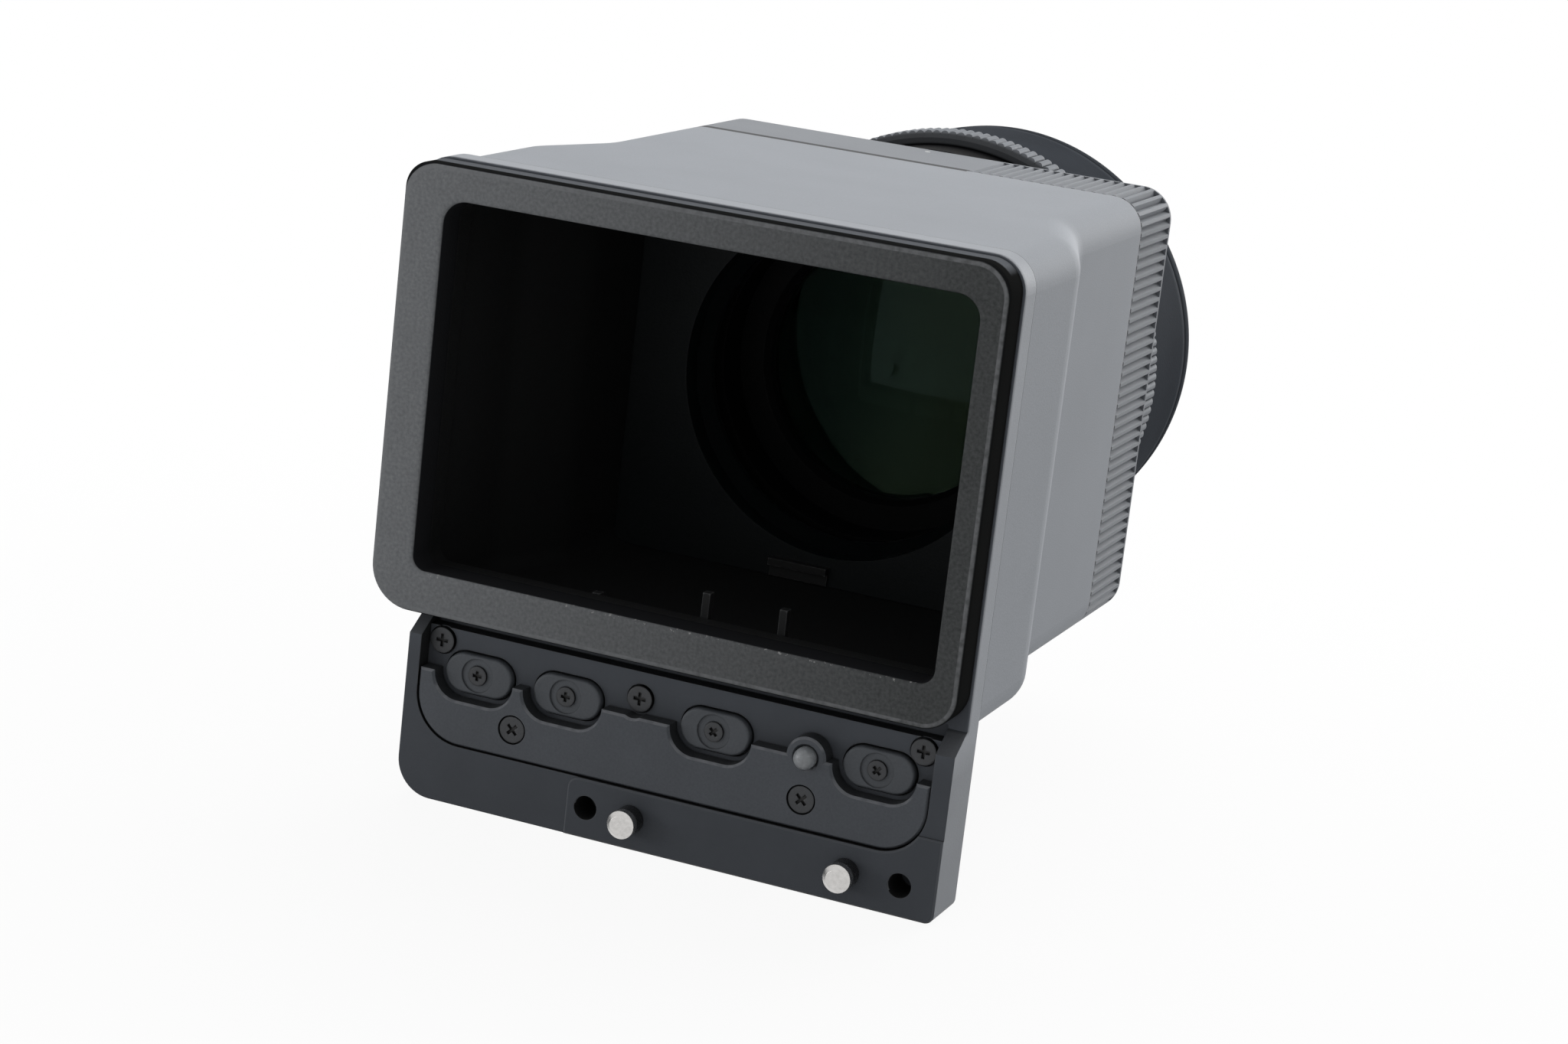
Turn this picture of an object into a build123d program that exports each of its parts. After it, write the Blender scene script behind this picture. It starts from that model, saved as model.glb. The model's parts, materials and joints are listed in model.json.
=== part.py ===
from build123d import *
import os
from math import atan2, cos, degrees, radians, sin

# A screen viewfinder loupe: a hood that hooks over a rear screen, with a focusing eyepiece.
# Millimetres. The origin is the centre of the screen window, on the front face of the gasket.
# X is to the right, Y runs back along the optical axis to the eye, and Z is up.

os.makedirs("parts", exist_ok=True)

# Sizes shared by many pieces
overrun = 1.0
wall = 2.0
fit_gap = 0.02
running_gap = 0.05
seam_bevel = 0.2

# Screen window and face gasket
window_width = 70.0
window_height = 46.9
window_top_corner = 3.0
window_bottom_corner = 1.8
gasket_left_border = 5.7
gasket_right_border = 3.4
gasket_top_border = 4.3
gasket_bottom_border = 5.55
gasket_depth = 4.4
gasket_top_left_corner = 3.5
gasket_top_right_corner = 4.0
gasket_bottom_right_corner = 4.5
gasket_bottom_left_corner = 5.5
gasket_outer_round = 0.5
gasket_inner_bevel = 0.35

# Front frame: a ring behind the gasket and a mount plate below it, cast in one
frame_margin = 0.3
frame_bottom_margin = 0.8
frame_depth = 4.0
frame_front_round = 0.25
frame_window_step = 0.5
frame_bottom_left_corner = 5.5
plate_setback = 0.9
plate_left_inset = 6.15
plate_foot_height = 7.8
plate_left_corner = 4.75
plate_right_corner = 1.2
plate_left_wall = 1.7
plate_right_wall = 2.45
plate_bevel_height = 2.4
floor_depth = 2.4
slot_drop = 1.1
slot_depth = 1.0

# Low boss that carries the guide pins, out to the right edge and down to the foot
boss_rise = 0.4
boss_bevel = 0.25
boss_left_x_share = 0.3206
boss_corner_rise = 3.0
boss_corner_width = 8.3
boss_round = 1.5

# Cover plate
step_drop = 6.3
cover_height = 9.1
cover_gap = 0.15
cover_left_corner = 6.4
cover_right_corner = 6.0
cover_edge_bevel = 0.3

# Hook pads
pad_length = 9.35
pad_width = 5.1
pad_rise = 0.85
pad_seat_depth = 0.8
pad_gap = 0.25
pad_cutout_gap = 0.8
pad_edge_round = 0.35
pad_ring_radius = 2.2
pad_ring_depth = 0.25
pad_screw_offset = 0.15
pad_x_shares = (0.1102, 0.2889, 0.5807, 0.8927)

# Screws
shank_radius = 0.8
cross_width = 0.4
cross_depth = 0.45
head_gap = 0.2
frame_head_radius = 1.65
frame_head_height = 0.9
frame_head_rise = 0.4
frame_screw_reach = 7.6
left_screw_inset = 1.9
right_screw_inset = 2.2
corner_screw_drop = 2.85
middle_screw_x_share = 0.428
middle_screw_drop = 4.5
cover_head_radius = 1.7
cover_head_height = 0.9
cover_head_sink = 0.1
cover_screw_reach = 5.0
cover_screw_x_shares = (0.1974, 0.7651)
cover_screw_drop = 5.35
pad_head_radius = 1.25
pad_head_height = 0.6
pad_screw_reach = 4.0
upper_screw_inset = 7.7
upper_head_radius = 1.5
upper_head_height = 1.0
upper_screw_reach = 8.0
case_head_radius = 1.5
case_head_height = 1.5
case_screw_reach = 8.0
flange_screw_reach = 3.4

# Sprung locking plunger
plunger_x_share = 0.7644
plunger_radius = 1.4
plunger_travel = 1.1
plunger_pressed_rise = 0.5
plunger_boss_radius = 2.6
plunger_mouth_radius = 1.75
plunger_collar_radius = 2.0
plunger_collar_depth = 1.0
plunger_collar_gap = 0.1
plunger_guide_gap = 0.06
plunger_cap_depth = 1.4
spring_radius = 1.4
spring_wire_radius = 0.15
spring_end_gap = 0.05
spring_turns = 4

# Guide pins and the blind holes beside them
pin_rise = 4.0
pin_x_shares = (0.4496, 0.8653)
pin_head_radius = 1.8
pin_head_length = 1.6
pin_head_bevel = 0.6
pin_proud = 3.5
pin_neck_radius = 1.1
pin_seat_depth = 5.0
hole_x_shares = (0.3602, 0.9666)
hole_radius = 1.55
hole_depth = 5.0

# Housing shell
housing_floor_drop = 2.6
housing_corner = 4.4
front_section_length = 17.0
taper_length = 13.5
taper_front_bend = 11.0
taper_rear_bend = 12.0
rear_half_width = 34.0
housing_length = 57.9
rear_wall = 2.5
lug_radius = 2.7
lug_depth = 3.0
upper_boss_width = 5.0
upper_boss_height = 2.4
upper_boss_depth = 7.5
rib_setback = 0.6
rib_width = 1.0
rib_depth = 1.2
tall_rib_height = 8.7
short_rib_height = 5.6
rib_x_shares = (0.2832, 0.4979, 0.6477)
case_screw_inset_x = 4.7
case_screw_inset_z = 4.7
case_boss_radius = 2.9
post_radius = 1.6
post_edge_gap = 1.4
post_angle = 40.0

# Rear cover
cover_length = 13.7
grip_pitch = 1.45
groove_width = 1.0
groove_depth = 0.65
grip_flange = 0.5
grip_start_x = 9.2
opening_gap = 0.3

# Light baffle and its clip
baffle_inset = 26.0
baffle_thickness = 1.6
baffle_edge_gap = 0.1
baffle_mouth_step = 1.2
baffle_tube_wall = 1.5
baffle_throat_step = 1.4
baffle_tube_length = 6.5
baffle_throat_length = 1.0
clip_offset_x = 3.75
clip_width = 8.5
clip_bottom_gap = 0.2
clip_height = 2.6
clip_depth = 1.4
clip_lip = 0.5

# Lens barrel
barrel_edge_gap = 0.825
barrel_wall = 2.1
barrel_front_gap = 1.0
barrel_tail = 1.8
flange_edge_gap = 0.5
flange_boss_gap = 2.2
flange_thickness = 2.0
flange_corner = 3.0
flange_screw_inset = 2.2
cam_pin_radius = 1.0
cam_pin_gap = 0.08
cam_pin_setback = 8.0
cam_pin_count = 3
cam_pin_root_step = 0.55
cam_pin_reach = 1.7
cam_top_angle = 90.0

# Focusing travel
carrier_travel = 2.5
ring_turn = 60.0

# Lens carrier and lenses
carrier_front_reach = 23.5
carrier_length = 33.5
carrier_wall = 2.1
shoulder_offset = 1.0
shoulder_depth = 1.5
shoulder_height = 1.75
lens_lip = 0.5
front_bezel_width = 4.35
front_bezel_depth = 2.5
front_bezel_bevel = 0.8
front_lens_edge = 3.0
front_lens_bulge = 1.8
front_lens_rear_bulge = 1.5
spacer_length = 10.0
spacer_wall = 1.3
middle_lens_edge = 3.0
middle_lens_hollow = 1.0
middle_lens_bulge = 1.2
rear_lens_edge = 3.5
rear_lens_bulge = 2.2
rear_ring_depth = 2.5
rear_ring_width = 1.9

# Diopter ring
ring_end_gap = 0.3
ring_bore_gap = 0.08
ring_length = 12.2
skirt_wall = 0.9
band_setback = 6.7
band_length = 5.0
band_front_bevel = 0.7
band_rear_bevel = 0.3
band_nose_step = 1.0
band_thickness = 1.4
lobe_height = 0.6
lobe_count = 162
cam_groove_depth = 2.0
cam_groove_gap = 0.1
cam_groove_end_gap = 0.3

# Ring retainer, eyecup mount and eyecup
retainer_depth = 1.4
retainer_step = 0.1
mount_length = 5.3
mount_wall = 1.8
cup_start_gap = 0.2
cup_collar_wall = 1.4
cup_line_length = 15.8
cup_line_rise = 0.5
cup_line_depth = 0.25
cup_rim_length = 18.8
cup_rim_draw = 0.1
cup_rim_wall = 1.4
cup_rim_round = 0.6
cup_floor_length = 7.4
cup_floor_thickness = 1.5
cup_floor_width = 3.0

# Places worked out from the sizes
gasket_left = -(window_width / 2 + gasket_left_border)
gasket_right = window_width / 2 + gasket_right_border
gasket_top = window_height / 2 + gasket_top_border
gasket_bottom = -(window_height / 2 + gasket_bottom_border)
frame_left = gasket_left - frame_margin
frame_right = gasket_right + frame_margin
frame_top = gasket_top + frame_margin
frame_bottom = gasket_bottom - frame_bottom_margin
frame_rear_y = gasket_depth + frame_depth
plate_left = frame_left + plate_left_inset
plate_top = frame_bottom + frame_margin
floor_y = plate_setback + floor_depth
pin_floor_y = plate_setback - boss_rise
slot_bottom = frame_bottom - slot_drop
slot_rear_y = gasket_depth + slot_depth
plunger_proud = plunger_travel + plunger_pressed_rise
pocket_left = plate_left + plate_left_wall
pocket_right = frame_right - plate_right_wall
step_z = frame_bottom - step_drop
cover_bottom = step_z - cover_height
plate_bottom = cover_bottom - plate_foot_height
pin_z = plate_bottom + pin_rise
pad_front_y = floor_y - pad_rise
left_corner_screw_x = pocket_left + left_screw_inset
right_corner_screw_x = pocket_right - right_screw_inset
upper_screw_x = frame_right - upper_screw_inset
corner_screw_z = frame_bottom - corner_screw_drop
middle_screw_z = frame_bottom - middle_screw_drop
cover_screw_z = step_z - cover_screw_drop
housing_top = frame_top
housing_bottom = gasket_bottom - housing_floor_drop
housing_rear_y = frame_rear_y + housing_length
housing_height = housing_top - housing_bottom
axis_z = (housing_top + housing_bottom) / 2
cover_wall_y = housing_rear_y + cover_length - rear_wall
cover_rear_y = housing_rear_y + cover_length
case_screw_x = rear_half_width - case_screw_inset_x
case_screw_z = housing_height / 2 - case_screw_inset_z
upper_screw_z = housing_top - wall - upper_boss_height / 2 + seam_bevel
shell_wall_y = housing_rear_y - rear_wall
baffle_front_y = cover_rear_y - baffle_inset
baffle_rear_y = baffle_front_y + baffle_tube_length
barrel_front_y = baffle_rear_y + barrel_front_gap
cam_pin_y = cover_rear_y + cam_pin_setback
carrier_front_y = cam_pin_y - carrier_front_reach
shoulder_y = cam_pin_y + shoulder_offset
front_ring_y = shoulder_y - middle_lens_edge - spacer_length - front_lens_edge - front_bezel_depth
ring_front_y = cover_rear_y + ring_end_gap
ring_rear_y = ring_front_y + ring_length
band_front_y = ring_front_y + band_setback
band_rear_y = band_front_y + band_length
retainer_y = ring_rear_y + ring_end_gap
mount_y = retainer_y + retainer_depth
barrel_rear_y = mount_y + barrel_tail
cup_floor_y = mount_y + cup_floor_length
cup_line_y = mount_y + cup_line_length
cup_rim_y = mount_y + cup_rim_length

# Radii about the optical axis, from the barrel outwards and inwards
barrel_radius = min(rear_half_width, housing_height / 2) - wall - barrel_edge_gap
barrel_bore = barrel_radius - barrel_wall
opening_radius = barrel_radius + opening_gap
baffle_mouth_radius = barrel_bore - baffle_mouth_step
baffle_throat_radius = baffle_mouth_radius - baffle_throat_step
carrier_radius = barrel_bore - running_gap
carrier_bore = carrier_radius - carrier_wall
lens_radius = carrier_bore - fit_gap
shoulder_radius = carrier_bore - shoulder_height
lens_clear_radius = shoulder_radius - lens_lip
front_bezel_radius = carrier_bore - front_bezel_width
cam_groove_radius = barrel_radius + cam_groove_depth
ring_bore = barrel_radius + ring_bore_gap
ring_skirt_radius = cam_groove_radius + skirt_wall
band_root_radius = ring_skirt_radius + band_thickness
band_crest_radius = band_root_radius + lobe_height
retainer_radius = ring_skirt_radius - retainer_step
mount_bore = barrel_radius + fit_gap
mount_radius = barrel_radius + mount_wall
cup_collar_radius = mount_radius + cup_collar_wall
cup_line_radius = cup_collar_radius + cup_line_rise
cup_rim_radius = cup_line_radius - cup_rim_draw
cup_bowl_radius = lens_clear_radius + cup_floor_width
eye_axis = Axis((0, 0, axis_z), (0, 1, 0))
eye_profile = Plane(origin=(0, 0, axis_z), x_dir=(0, 1, 0), z_dir=(1, 0, 0))


def facing(y):
    """The upright plane at distance y behind the gasket face, drawn in X and Z."""
    return Plane.XZ.offset(-y)


def eye_plane(y):
    """The same plane with its origin on the optical axis."""
    return Plane(origin=(0, y, axis_z), x_dir=(1, 0, 0), z_dir=(0, -1, 0))


def half_section(*points):
    """A closed outline beside the optical axis, from (distance back, radius) points."""
    with BuildSketch(eye_profile) as drawn:
        with BuildLine():
            Polyline(*points, close=True)
        make_face()
    return drawn.sketch


def corner_block(left, right, bottom, top, corners, front, rear):
    """A block from front to rear whose corners have their own radii: top left first, then clockwise."""
    points = [(left, top), (right, top), (right, bottom), (left, bottom)]
    with BuildPart() as block:
        with BuildSketch(facing(front)):
            with BuildLine():
                FilletPolyline(*points, radius=corners, close=True)
            make_face()
        extrude(amount=front - rear)
    return block.part


def housing_block(front, rear, inset):
    """The tapering box of the housing, drawn in by the inset all round."""
    wide = frame_right - inset
    narrow = rear_half_width - inset
    bend_front = frame_rear_y + front_section_length
    bend_rear = bend_front + taper_length
    points = [(wide, front), (wide, bend_front), (narrow, bend_rear), (narrow, rear)]
    points += [(-x, y) for x, y in reversed(points)]
    bends = [0, taper_front_bend, taper_rear_bend, 0, 0, taper_rear_bend, taper_front_bend, 0]
    with BuildPart() as block:
        with BuildSketch(Plane.XY.offset(housing_bottom + inset)):
            with BuildLine():
                FilletPolyline(*points, radius=bends, close=True)
            make_face()
        extrude(amount=housing_height - 2 * inset)
        for face in (block.faces().sort_by(Axis.Z)[-1], block.faces().sort_by(Axis.Z)[0]):
            fillet(face.edges().filter_by(Axis.X, reverse=True), radius=housing_corner - inset)
    return block.part


def cross_screws(places, head_y, head_radius, head_height, reach):
    """Cross-head screws pointing back, one at each (x, z, turn of its cross)."""
    with BuildPart() as screws:
        with BuildSketch(facing(head_y)):
            for x, z, turn in places:
                with Locations((x, z)):
                    Circle(head_radius)
        extrude(amount=-head_height)
        with BuildSketch(facing(head_y)):
            for x, z, turn in places:
                with Locations((x, z)):
                    Circle(shank_radius)
        extrude(amount=-(head_height + reach))
        with BuildSketch(facing(head_y)):
            for x, z, turn in places:
                with Locations(Location((x, z, 0), (0, 0, turn))):
                    Rectangle(head_radius, cross_width)
                    Rectangle(cross_width, head_radius)
        extrude(amount=-cross_depth, mode=Mode.SUBTRACT)
    return screws


def bores(places, radius, front, rear):
    """Straight holes from front to rear, as a solid to take away."""
    with BuildPart() as cutter:
        with BuildSketch(facing(front)):
            with Locations(*places):
                Circle(radius)
        extrude(amount=front - rear)
    return cutter.part


def four_places(half_x, half_z):
    """Four places about the optical axis."""
    return [(x, axis_z + z) for x in (-half_x, half_x) for z in (-half_z, half_z)]


def plate_x(share):
    """The place across the plate's pocket, as a share of its width from the left."""
    return pocket_left + share * (pocket_right - pocket_left)


# Face gasket: the dark ring that meets the screen
with BuildPart() as face_gasket:
    add(corner_block(
        gasket_left, gasket_right, gasket_bottom, gasket_top,
        [gasket_top_left_corner, gasket_top_right_corner,
         gasket_bottom_right_corner, gasket_bottom_left_corner],
        0, gasket_depth,
    ))
    fillet(face_gasket.faces().sort_by(Axis.Y)[0].edges(), radius=gasket_outer_round)
    add(corner_block(
        -window_width / 2, window_width / 2, -window_height / 2, window_height / 2,
        [window_top_corner, window_top_corner, window_bottom_corner, window_bottom_corner],
        -overrun, gasket_depth + overrun,
    ), mode=Mode.SUBTRACT)
    chamfer(
        face_gasket.faces().sort_by(Axis.Y)[0].inner_wires().edges(),
        length=gasket_inner_bevel,
    )

# Screw places on the frame and plate
corner_screws = [(left_corner_screw_x, corner_screw_z), (right_corner_screw_x, corner_screw_z)]
middle_screw = [(plate_x(middle_screw_x_share), middle_screw_z)]
floor_screws = corner_screws + middle_screw
upper_screws = [(-upper_screw_x, upper_screw_z), (upper_screw_x, upper_screw_z)]
cover_screw_places = [(plate_x(share), cover_screw_z) for share in cover_screw_x_shares]
pad_centres = [(plate_x(share), step_z) for share in pad_x_shares]
pad_screw_places = [(x - pad_screw_offset, z) for x, z in pad_centres]
pin_places = [(plate_x(share), pin_z) for share in pin_x_shares]
hole_places = [(plate_x(share), pin_z) for share in hole_x_shares]
plunger_x = plate_x(plunger_x_share)
plunger_place = [(plunger_x, step_z)]
boss_left_x = plate_x(boss_left_x_share)
boss_top_z = cover_bottom - cover_gap
boss_corner_x = frame_right - boss_corner_width
boss_corner_z = boss_top_z + boss_corner_rise
frame_head_y = floor_y - frame_head_rise
upper_head_y = gasket_depth + fit_gap
cover_head_y = plate_setback + cover_head_sink
pad_head_y = pad_front_y + pad_ring_depth - pad_head_height / 2

# Front frame with its mount plate
with BuildPart() as front_frame:
    add(corner_block(
        frame_left, frame_right, frame_bottom, frame_top,
        [housing_corner, housing_corner, 0, frame_bottom_left_corner],
        gasket_depth, frame_rear_y,
    ))
    fillet(front_frame.faces().sort_by(Axis.Y)[0].edges(), radius=frame_front_round)
    with BuildSketch(Plane.YZ.offset(plate_left)):
        with BuildLine():
            Polyline(
                (plate_setback, plate_bottom), (frame_rear_y, plate_bottom),
                (frame_rear_y, plate_top), (gasket_depth, plate_top),
                (plate_setback, plate_top - plate_bevel_height), close=True,
            )
        make_face()
    extrude(amount=frame_right - plate_left)
    # Boss round the guide pins
    with BuildSketch(facing(pin_floor_y)) as boss:
        with BuildLine():
            Polyline(
                (boss_left_x, plate_bottom), (frame_right, plate_bottom), (frame_right, boss_corner_z),
                (boss_corner_x, boss_corner_z), (boss_corner_x, boss_top_z), (boss_left_x, boss_top_z),
                close=True,
            )
        make_face()
        fillet(boss.vertices().group_by(Axis.X)[0].sort_by(Axis.Y)[-1], radius=boss_round)
    extrude(amount=-boss_rise)
    foot = front_frame.edges().filter_by(Axis.Y).group_by(Axis.Z)[0].sort_by(Axis.X)
    fillet(foot[0], radius=plate_left_corner)
    fillet(foot[-1], radius=plate_right_corner)
    add(corner_block(
        -window_width / 2 - frame_window_step, window_width / 2 + frame_window_step,
        -window_height / 2 - frame_window_step, window_height / 2 + frame_window_step,
        [window_top_corner, window_top_corner, window_bottom_corner, window_bottom_corner],
        0, frame_rear_y + overrun,
    ), mode=Mode.SUBTRACT)
    # Recessed floor for the hook pads and the cover plate
    add(corner_block(
        pocket_left, pocket_right, cover_bottom - cover_gap, gasket_bottom,
        [0, 0, cover_right_corner, cover_left_corner], -overrun, floor_y,
    ), mode=Mode.SUBTRACT)
    chamfer(front_frame.faces().sort_by(Axis.Y)[0].edges().filter_by(
        lambda edge: edge.center().X < frame_right - boss_bevel
        and edge.center().Z > plate_bottom + boss_bevel
    ), length=boss_bevel)
    # Narrow slot below the gasket
    add(corner_block(
        pocket_left, pocket_right, slot_bottom, gasket_bottom, [0, 0, 0, 0], -overrun, slot_rear_y,
    ), mode=Mode.SUBTRACT)
    # Seats of the hook pads
    with BuildSketch(facing(floor_y)):
        with Locations(*pad_centres):
            SlotOverall(pad_length + 2 * pad_gap, pad_width + 2 * pad_gap)
    extrude(amount=-pad_seat_depth, mode=Mode.SUBTRACT)
    # Screw holes, head seats, pin holes and the plunger bore
    add(bores(floor_screws, shank_radius + fit_gap, 0, frame_rear_y + overrun), mode=Mode.SUBTRACT)
    add(bores(
        floor_screws, frame_head_radius + head_gap, 0, frame_head_y + frame_head_height,
    ), mode=Mode.SUBTRACT)
    add(bores(upper_screws, shank_radius + fit_gap, 0, frame_rear_y + overrun), mode=Mode.SUBTRACT)
    add(bores(
        upper_screws, upper_head_radius + head_gap, 0, upper_head_y + upper_head_height,
    ), mode=Mode.SUBTRACT)
    add(bores(
        cover_screw_places, shank_radius + fit_gap, 0,
        cover_head_y + cover_head_height + cover_screw_reach + fit_gap,
    ), mode=Mode.SUBTRACT)
    add(bores(
        pad_screw_places, shank_radius + fit_gap, 0,
        pad_head_y + pad_head_height + pad_screw_reach + fit_gap,
    ), mode=Mode.SUBTRACT)
    add(bores(
        pin_places, pin_neck_radius + fit_gap, 0, pin_floor_y + pin_seat_depth,
    ), mode=Mode.SUBTRACT)
    add(bores(
        hole_places, hole_radius, 0, pin_floor_y + hole_depth,
    ), mode=Mode.SUBTRACT)
    add(bores(
        plunger_place, plunger_collar_radius + plunger_guide_gap, 0, frame_rear_y + overrun,
    ), mode=Mode.SUBTRACT)

# Cover plate over the lower half of the pads
with BuildPart() as cover_plate:
    add(corner_block(
        pocket_left + cover_gap, pocket_right - cover_gap, cover_bottom, step_z,
        [0, 0, cover_right_corner - cover_gap, cover_left_corner - cover_gap],
        plate_setback, floor_y,
    ))
    with BuildSketch(facing(plate_setback)):
        with Locations(*plunger_place):
            Circle(plunger_boss_radius)
    extrude(amount=-floor_depth)
    with BuildSketch(facing(plate_setback)):
        with Locations(*pad_centres):
            SlotOverall(pad_length + 2 * pad_cutout_gap, pad_width + 2 * pad_cutout_gap)
    extrude(amount=-floor_depth, mode=Mode.SUBTRACT)
    add(bores(floor_screws, frame_head_radius + 2 * head_gap, 0, floor_y), mode=Mode.SUBTRACT)
    front_edges = cover_plate.faces().sort_by(Axis.Y)[0].edges()
    chamfer(front_edges, length=cover_edge_bevel)
    add(bores(cover_screw_places, shank_radius + fit_gap, 0, floor_y), mode=Mode.SUBTRACT)
    add(bores(
        cover_screw_places, cover_head_radius + head_gap, 0, cover_head_y + cover_head_height,
    ), mode=Mode.SUBTRACT)
    add(bores(plunger_place, plunger_radius + plunger_guide_gap, 0, floor_y), mode=Mode.SUBTRACT)
    mouth = cover_plate.edges().filter_by(GeomType.CIRCLE).filter_by(
        lambda edge: abs(edge.radius - plunger_radius - plunger_guide_gap) < fit_gap
    ).sort_by(Axis.Y)[0]
    chamfer(mouth, length=plunger_mouth_radius - plunger_radius - plunger_guide_gap)


def hook_pad(x):
    """One obround pad in its seat, with a shallow ring round its screw."""
    centre = (x, step_z)
    screw_place = (x - pad_screw_offset, step_z)
    with BuildPart() as pad:
        with BuildSketch(facing(pad_front_y)):
            with Locations(centre):
                SlotOverall(pad_length, pad_width)
        extrude(amount=-(pad_rise + pad_seat_depth))
        fillet(pad.faces().sort_by(Axis.Y)[0].edges(), radius=pad_edge_round)
        add(bores([screw_place], pad_ring_radius, 0, pad_front_y + pad_ring_depth), mode=Mode.SUBTRACT)
        add(bores([screw_place], shank_radius + fit_gap, 0, gasket_depth), mode=Mode.SUBTRACT)
        add(bores(
            [screw_place], pad_head_radius + fit_gap, 0, pad_head_y + pad_head_height,
        ), mode=Mode.SUBTRACT)
    return pad


hook_pads = [hook_pad(x) for x, z in pad_centres]

# Screws of the front
straight_cross = 0
slanted_cross = 45
frame_screws = cross_screws(
    [(x, z, straight_cross) for x, z in floor_screws],
    frame_head_y, frame_head_radius, frame_head_height, frame_screw_reach,
)
cover_screws = cross_screws(
    [(x, z, slanted_cross) for x, z in cover_screw_places],
    cover_head_y, cover_head_radius, cover_head_height, cover_screw_reach,
)
pad_turns = (straight_cross, straight_cross, slanted_cross, slanted_cross)
pad_screws = cross_screws(
    [(x, z, turn) for (x, z), turn in zip(pad_screw_places, pad_turns)],
    pad_head_y, pad_head_radius, pad_head_height, pad_screw_reach,
)
upper_frame_screws = cross_screws(
    [(x, z, straight_cross) for x, z in upper_screws],
    upper_head_y, upper_head_radius, upper_head_height, upper_screw_reach,
)

# Sprung locking plunger: a domed pin held behind the cover plate by its collar
collar_front_y = floor_y + plunger_collar_gap
collar_rear_y = collar_front_y + plunger_collar_depth
plunger_cap_y = frame_rear_y - plunger_cap_depth
with BuildPart() as lock_plunger:
    with BuildSketch(facing(plate_setback - plunger_proud)):
        with Locations(*plunger_place):
            Circle(plunger_radius)
    extrude(amount=plate_setback - plunger_proud - collar_rear_y)
    tip = lock_plunger.edges().sort_by(Axis.Y)[0]
    fillet(tip, radius=plunger_radius - running_gap)
    with BuildSketch(facing(collar_front_y)):
        with Locations(*plunger_place):
            Circle(plunger_collar_radius)
    extrude(amount=-plunger_collar_depth)

# The spring: one open coil between the collar and the cap
spring_front_y = collar_rear_y + spring_wire_radius + spring_end_gap
spring_length = plunger_cap_y - spring_front_y - spring_wire_radius - spring_end_gap
with BuildPart() as plunger_spring:
    with BuildLine() as coil:
        Helix(
            pitch=spring_length / spring_turns, height=spring_length, radius=spring_radius,
            center=(plunger_x, spring_front_y, step_z), direction=(0, 1, 0),
        )
    with BuildSketch(Plane(origin=coil.line @ 0, z_dir=coil.line % 0)):
        Circle(spring_wire_radius)
    sweep(is_frenet=True)

with BuildPart() as plunger_cap:
    with BuildSketch(facing(plunger_cap_y)):
        with Locations(*plunger_place):
            Circle(plunger_collar_radius + plunger_guide_gap - fit_gap)
    extrude(amount=-plunger_cap_depth)

# Guide pins and the dark collars behind their heads
pin_tip_y = pin_floor_y - pin_proud
pin_shoulder_y = pin_tip_y + pin_head_length
with BuildPart() as guide_pins:
    with BuildSketch(facing(pin_tip_y)):
        with Locations(*pin_places):
            Circle(pin_head_radius)
    extrude(amount=-pin_head_length)
    chamfer(guide_pins.edges().group_by(Axis.Y)[0], length=pin_head_bevel)
    with BuildSketch(facing(pin_shoulder_y)):
        with Locations(*pin_places):
            Circle(pin_neck_radius)
    extrude(amount=pin_shoulder_y - pin_floor_y - pin_seat_depth)

with BuildPart() as pin_collars:
    with BuildSketch(facing(pin_shoulder_y)):
        with Locations(*pin_places):
            Circle(pin_head_radius)
            Circle(pin_neck_radius + fit_gap, mode=Mode.SUBTRACT)
    extrude(amount=pin_shoulder_y - pin_floor_y)

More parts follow.
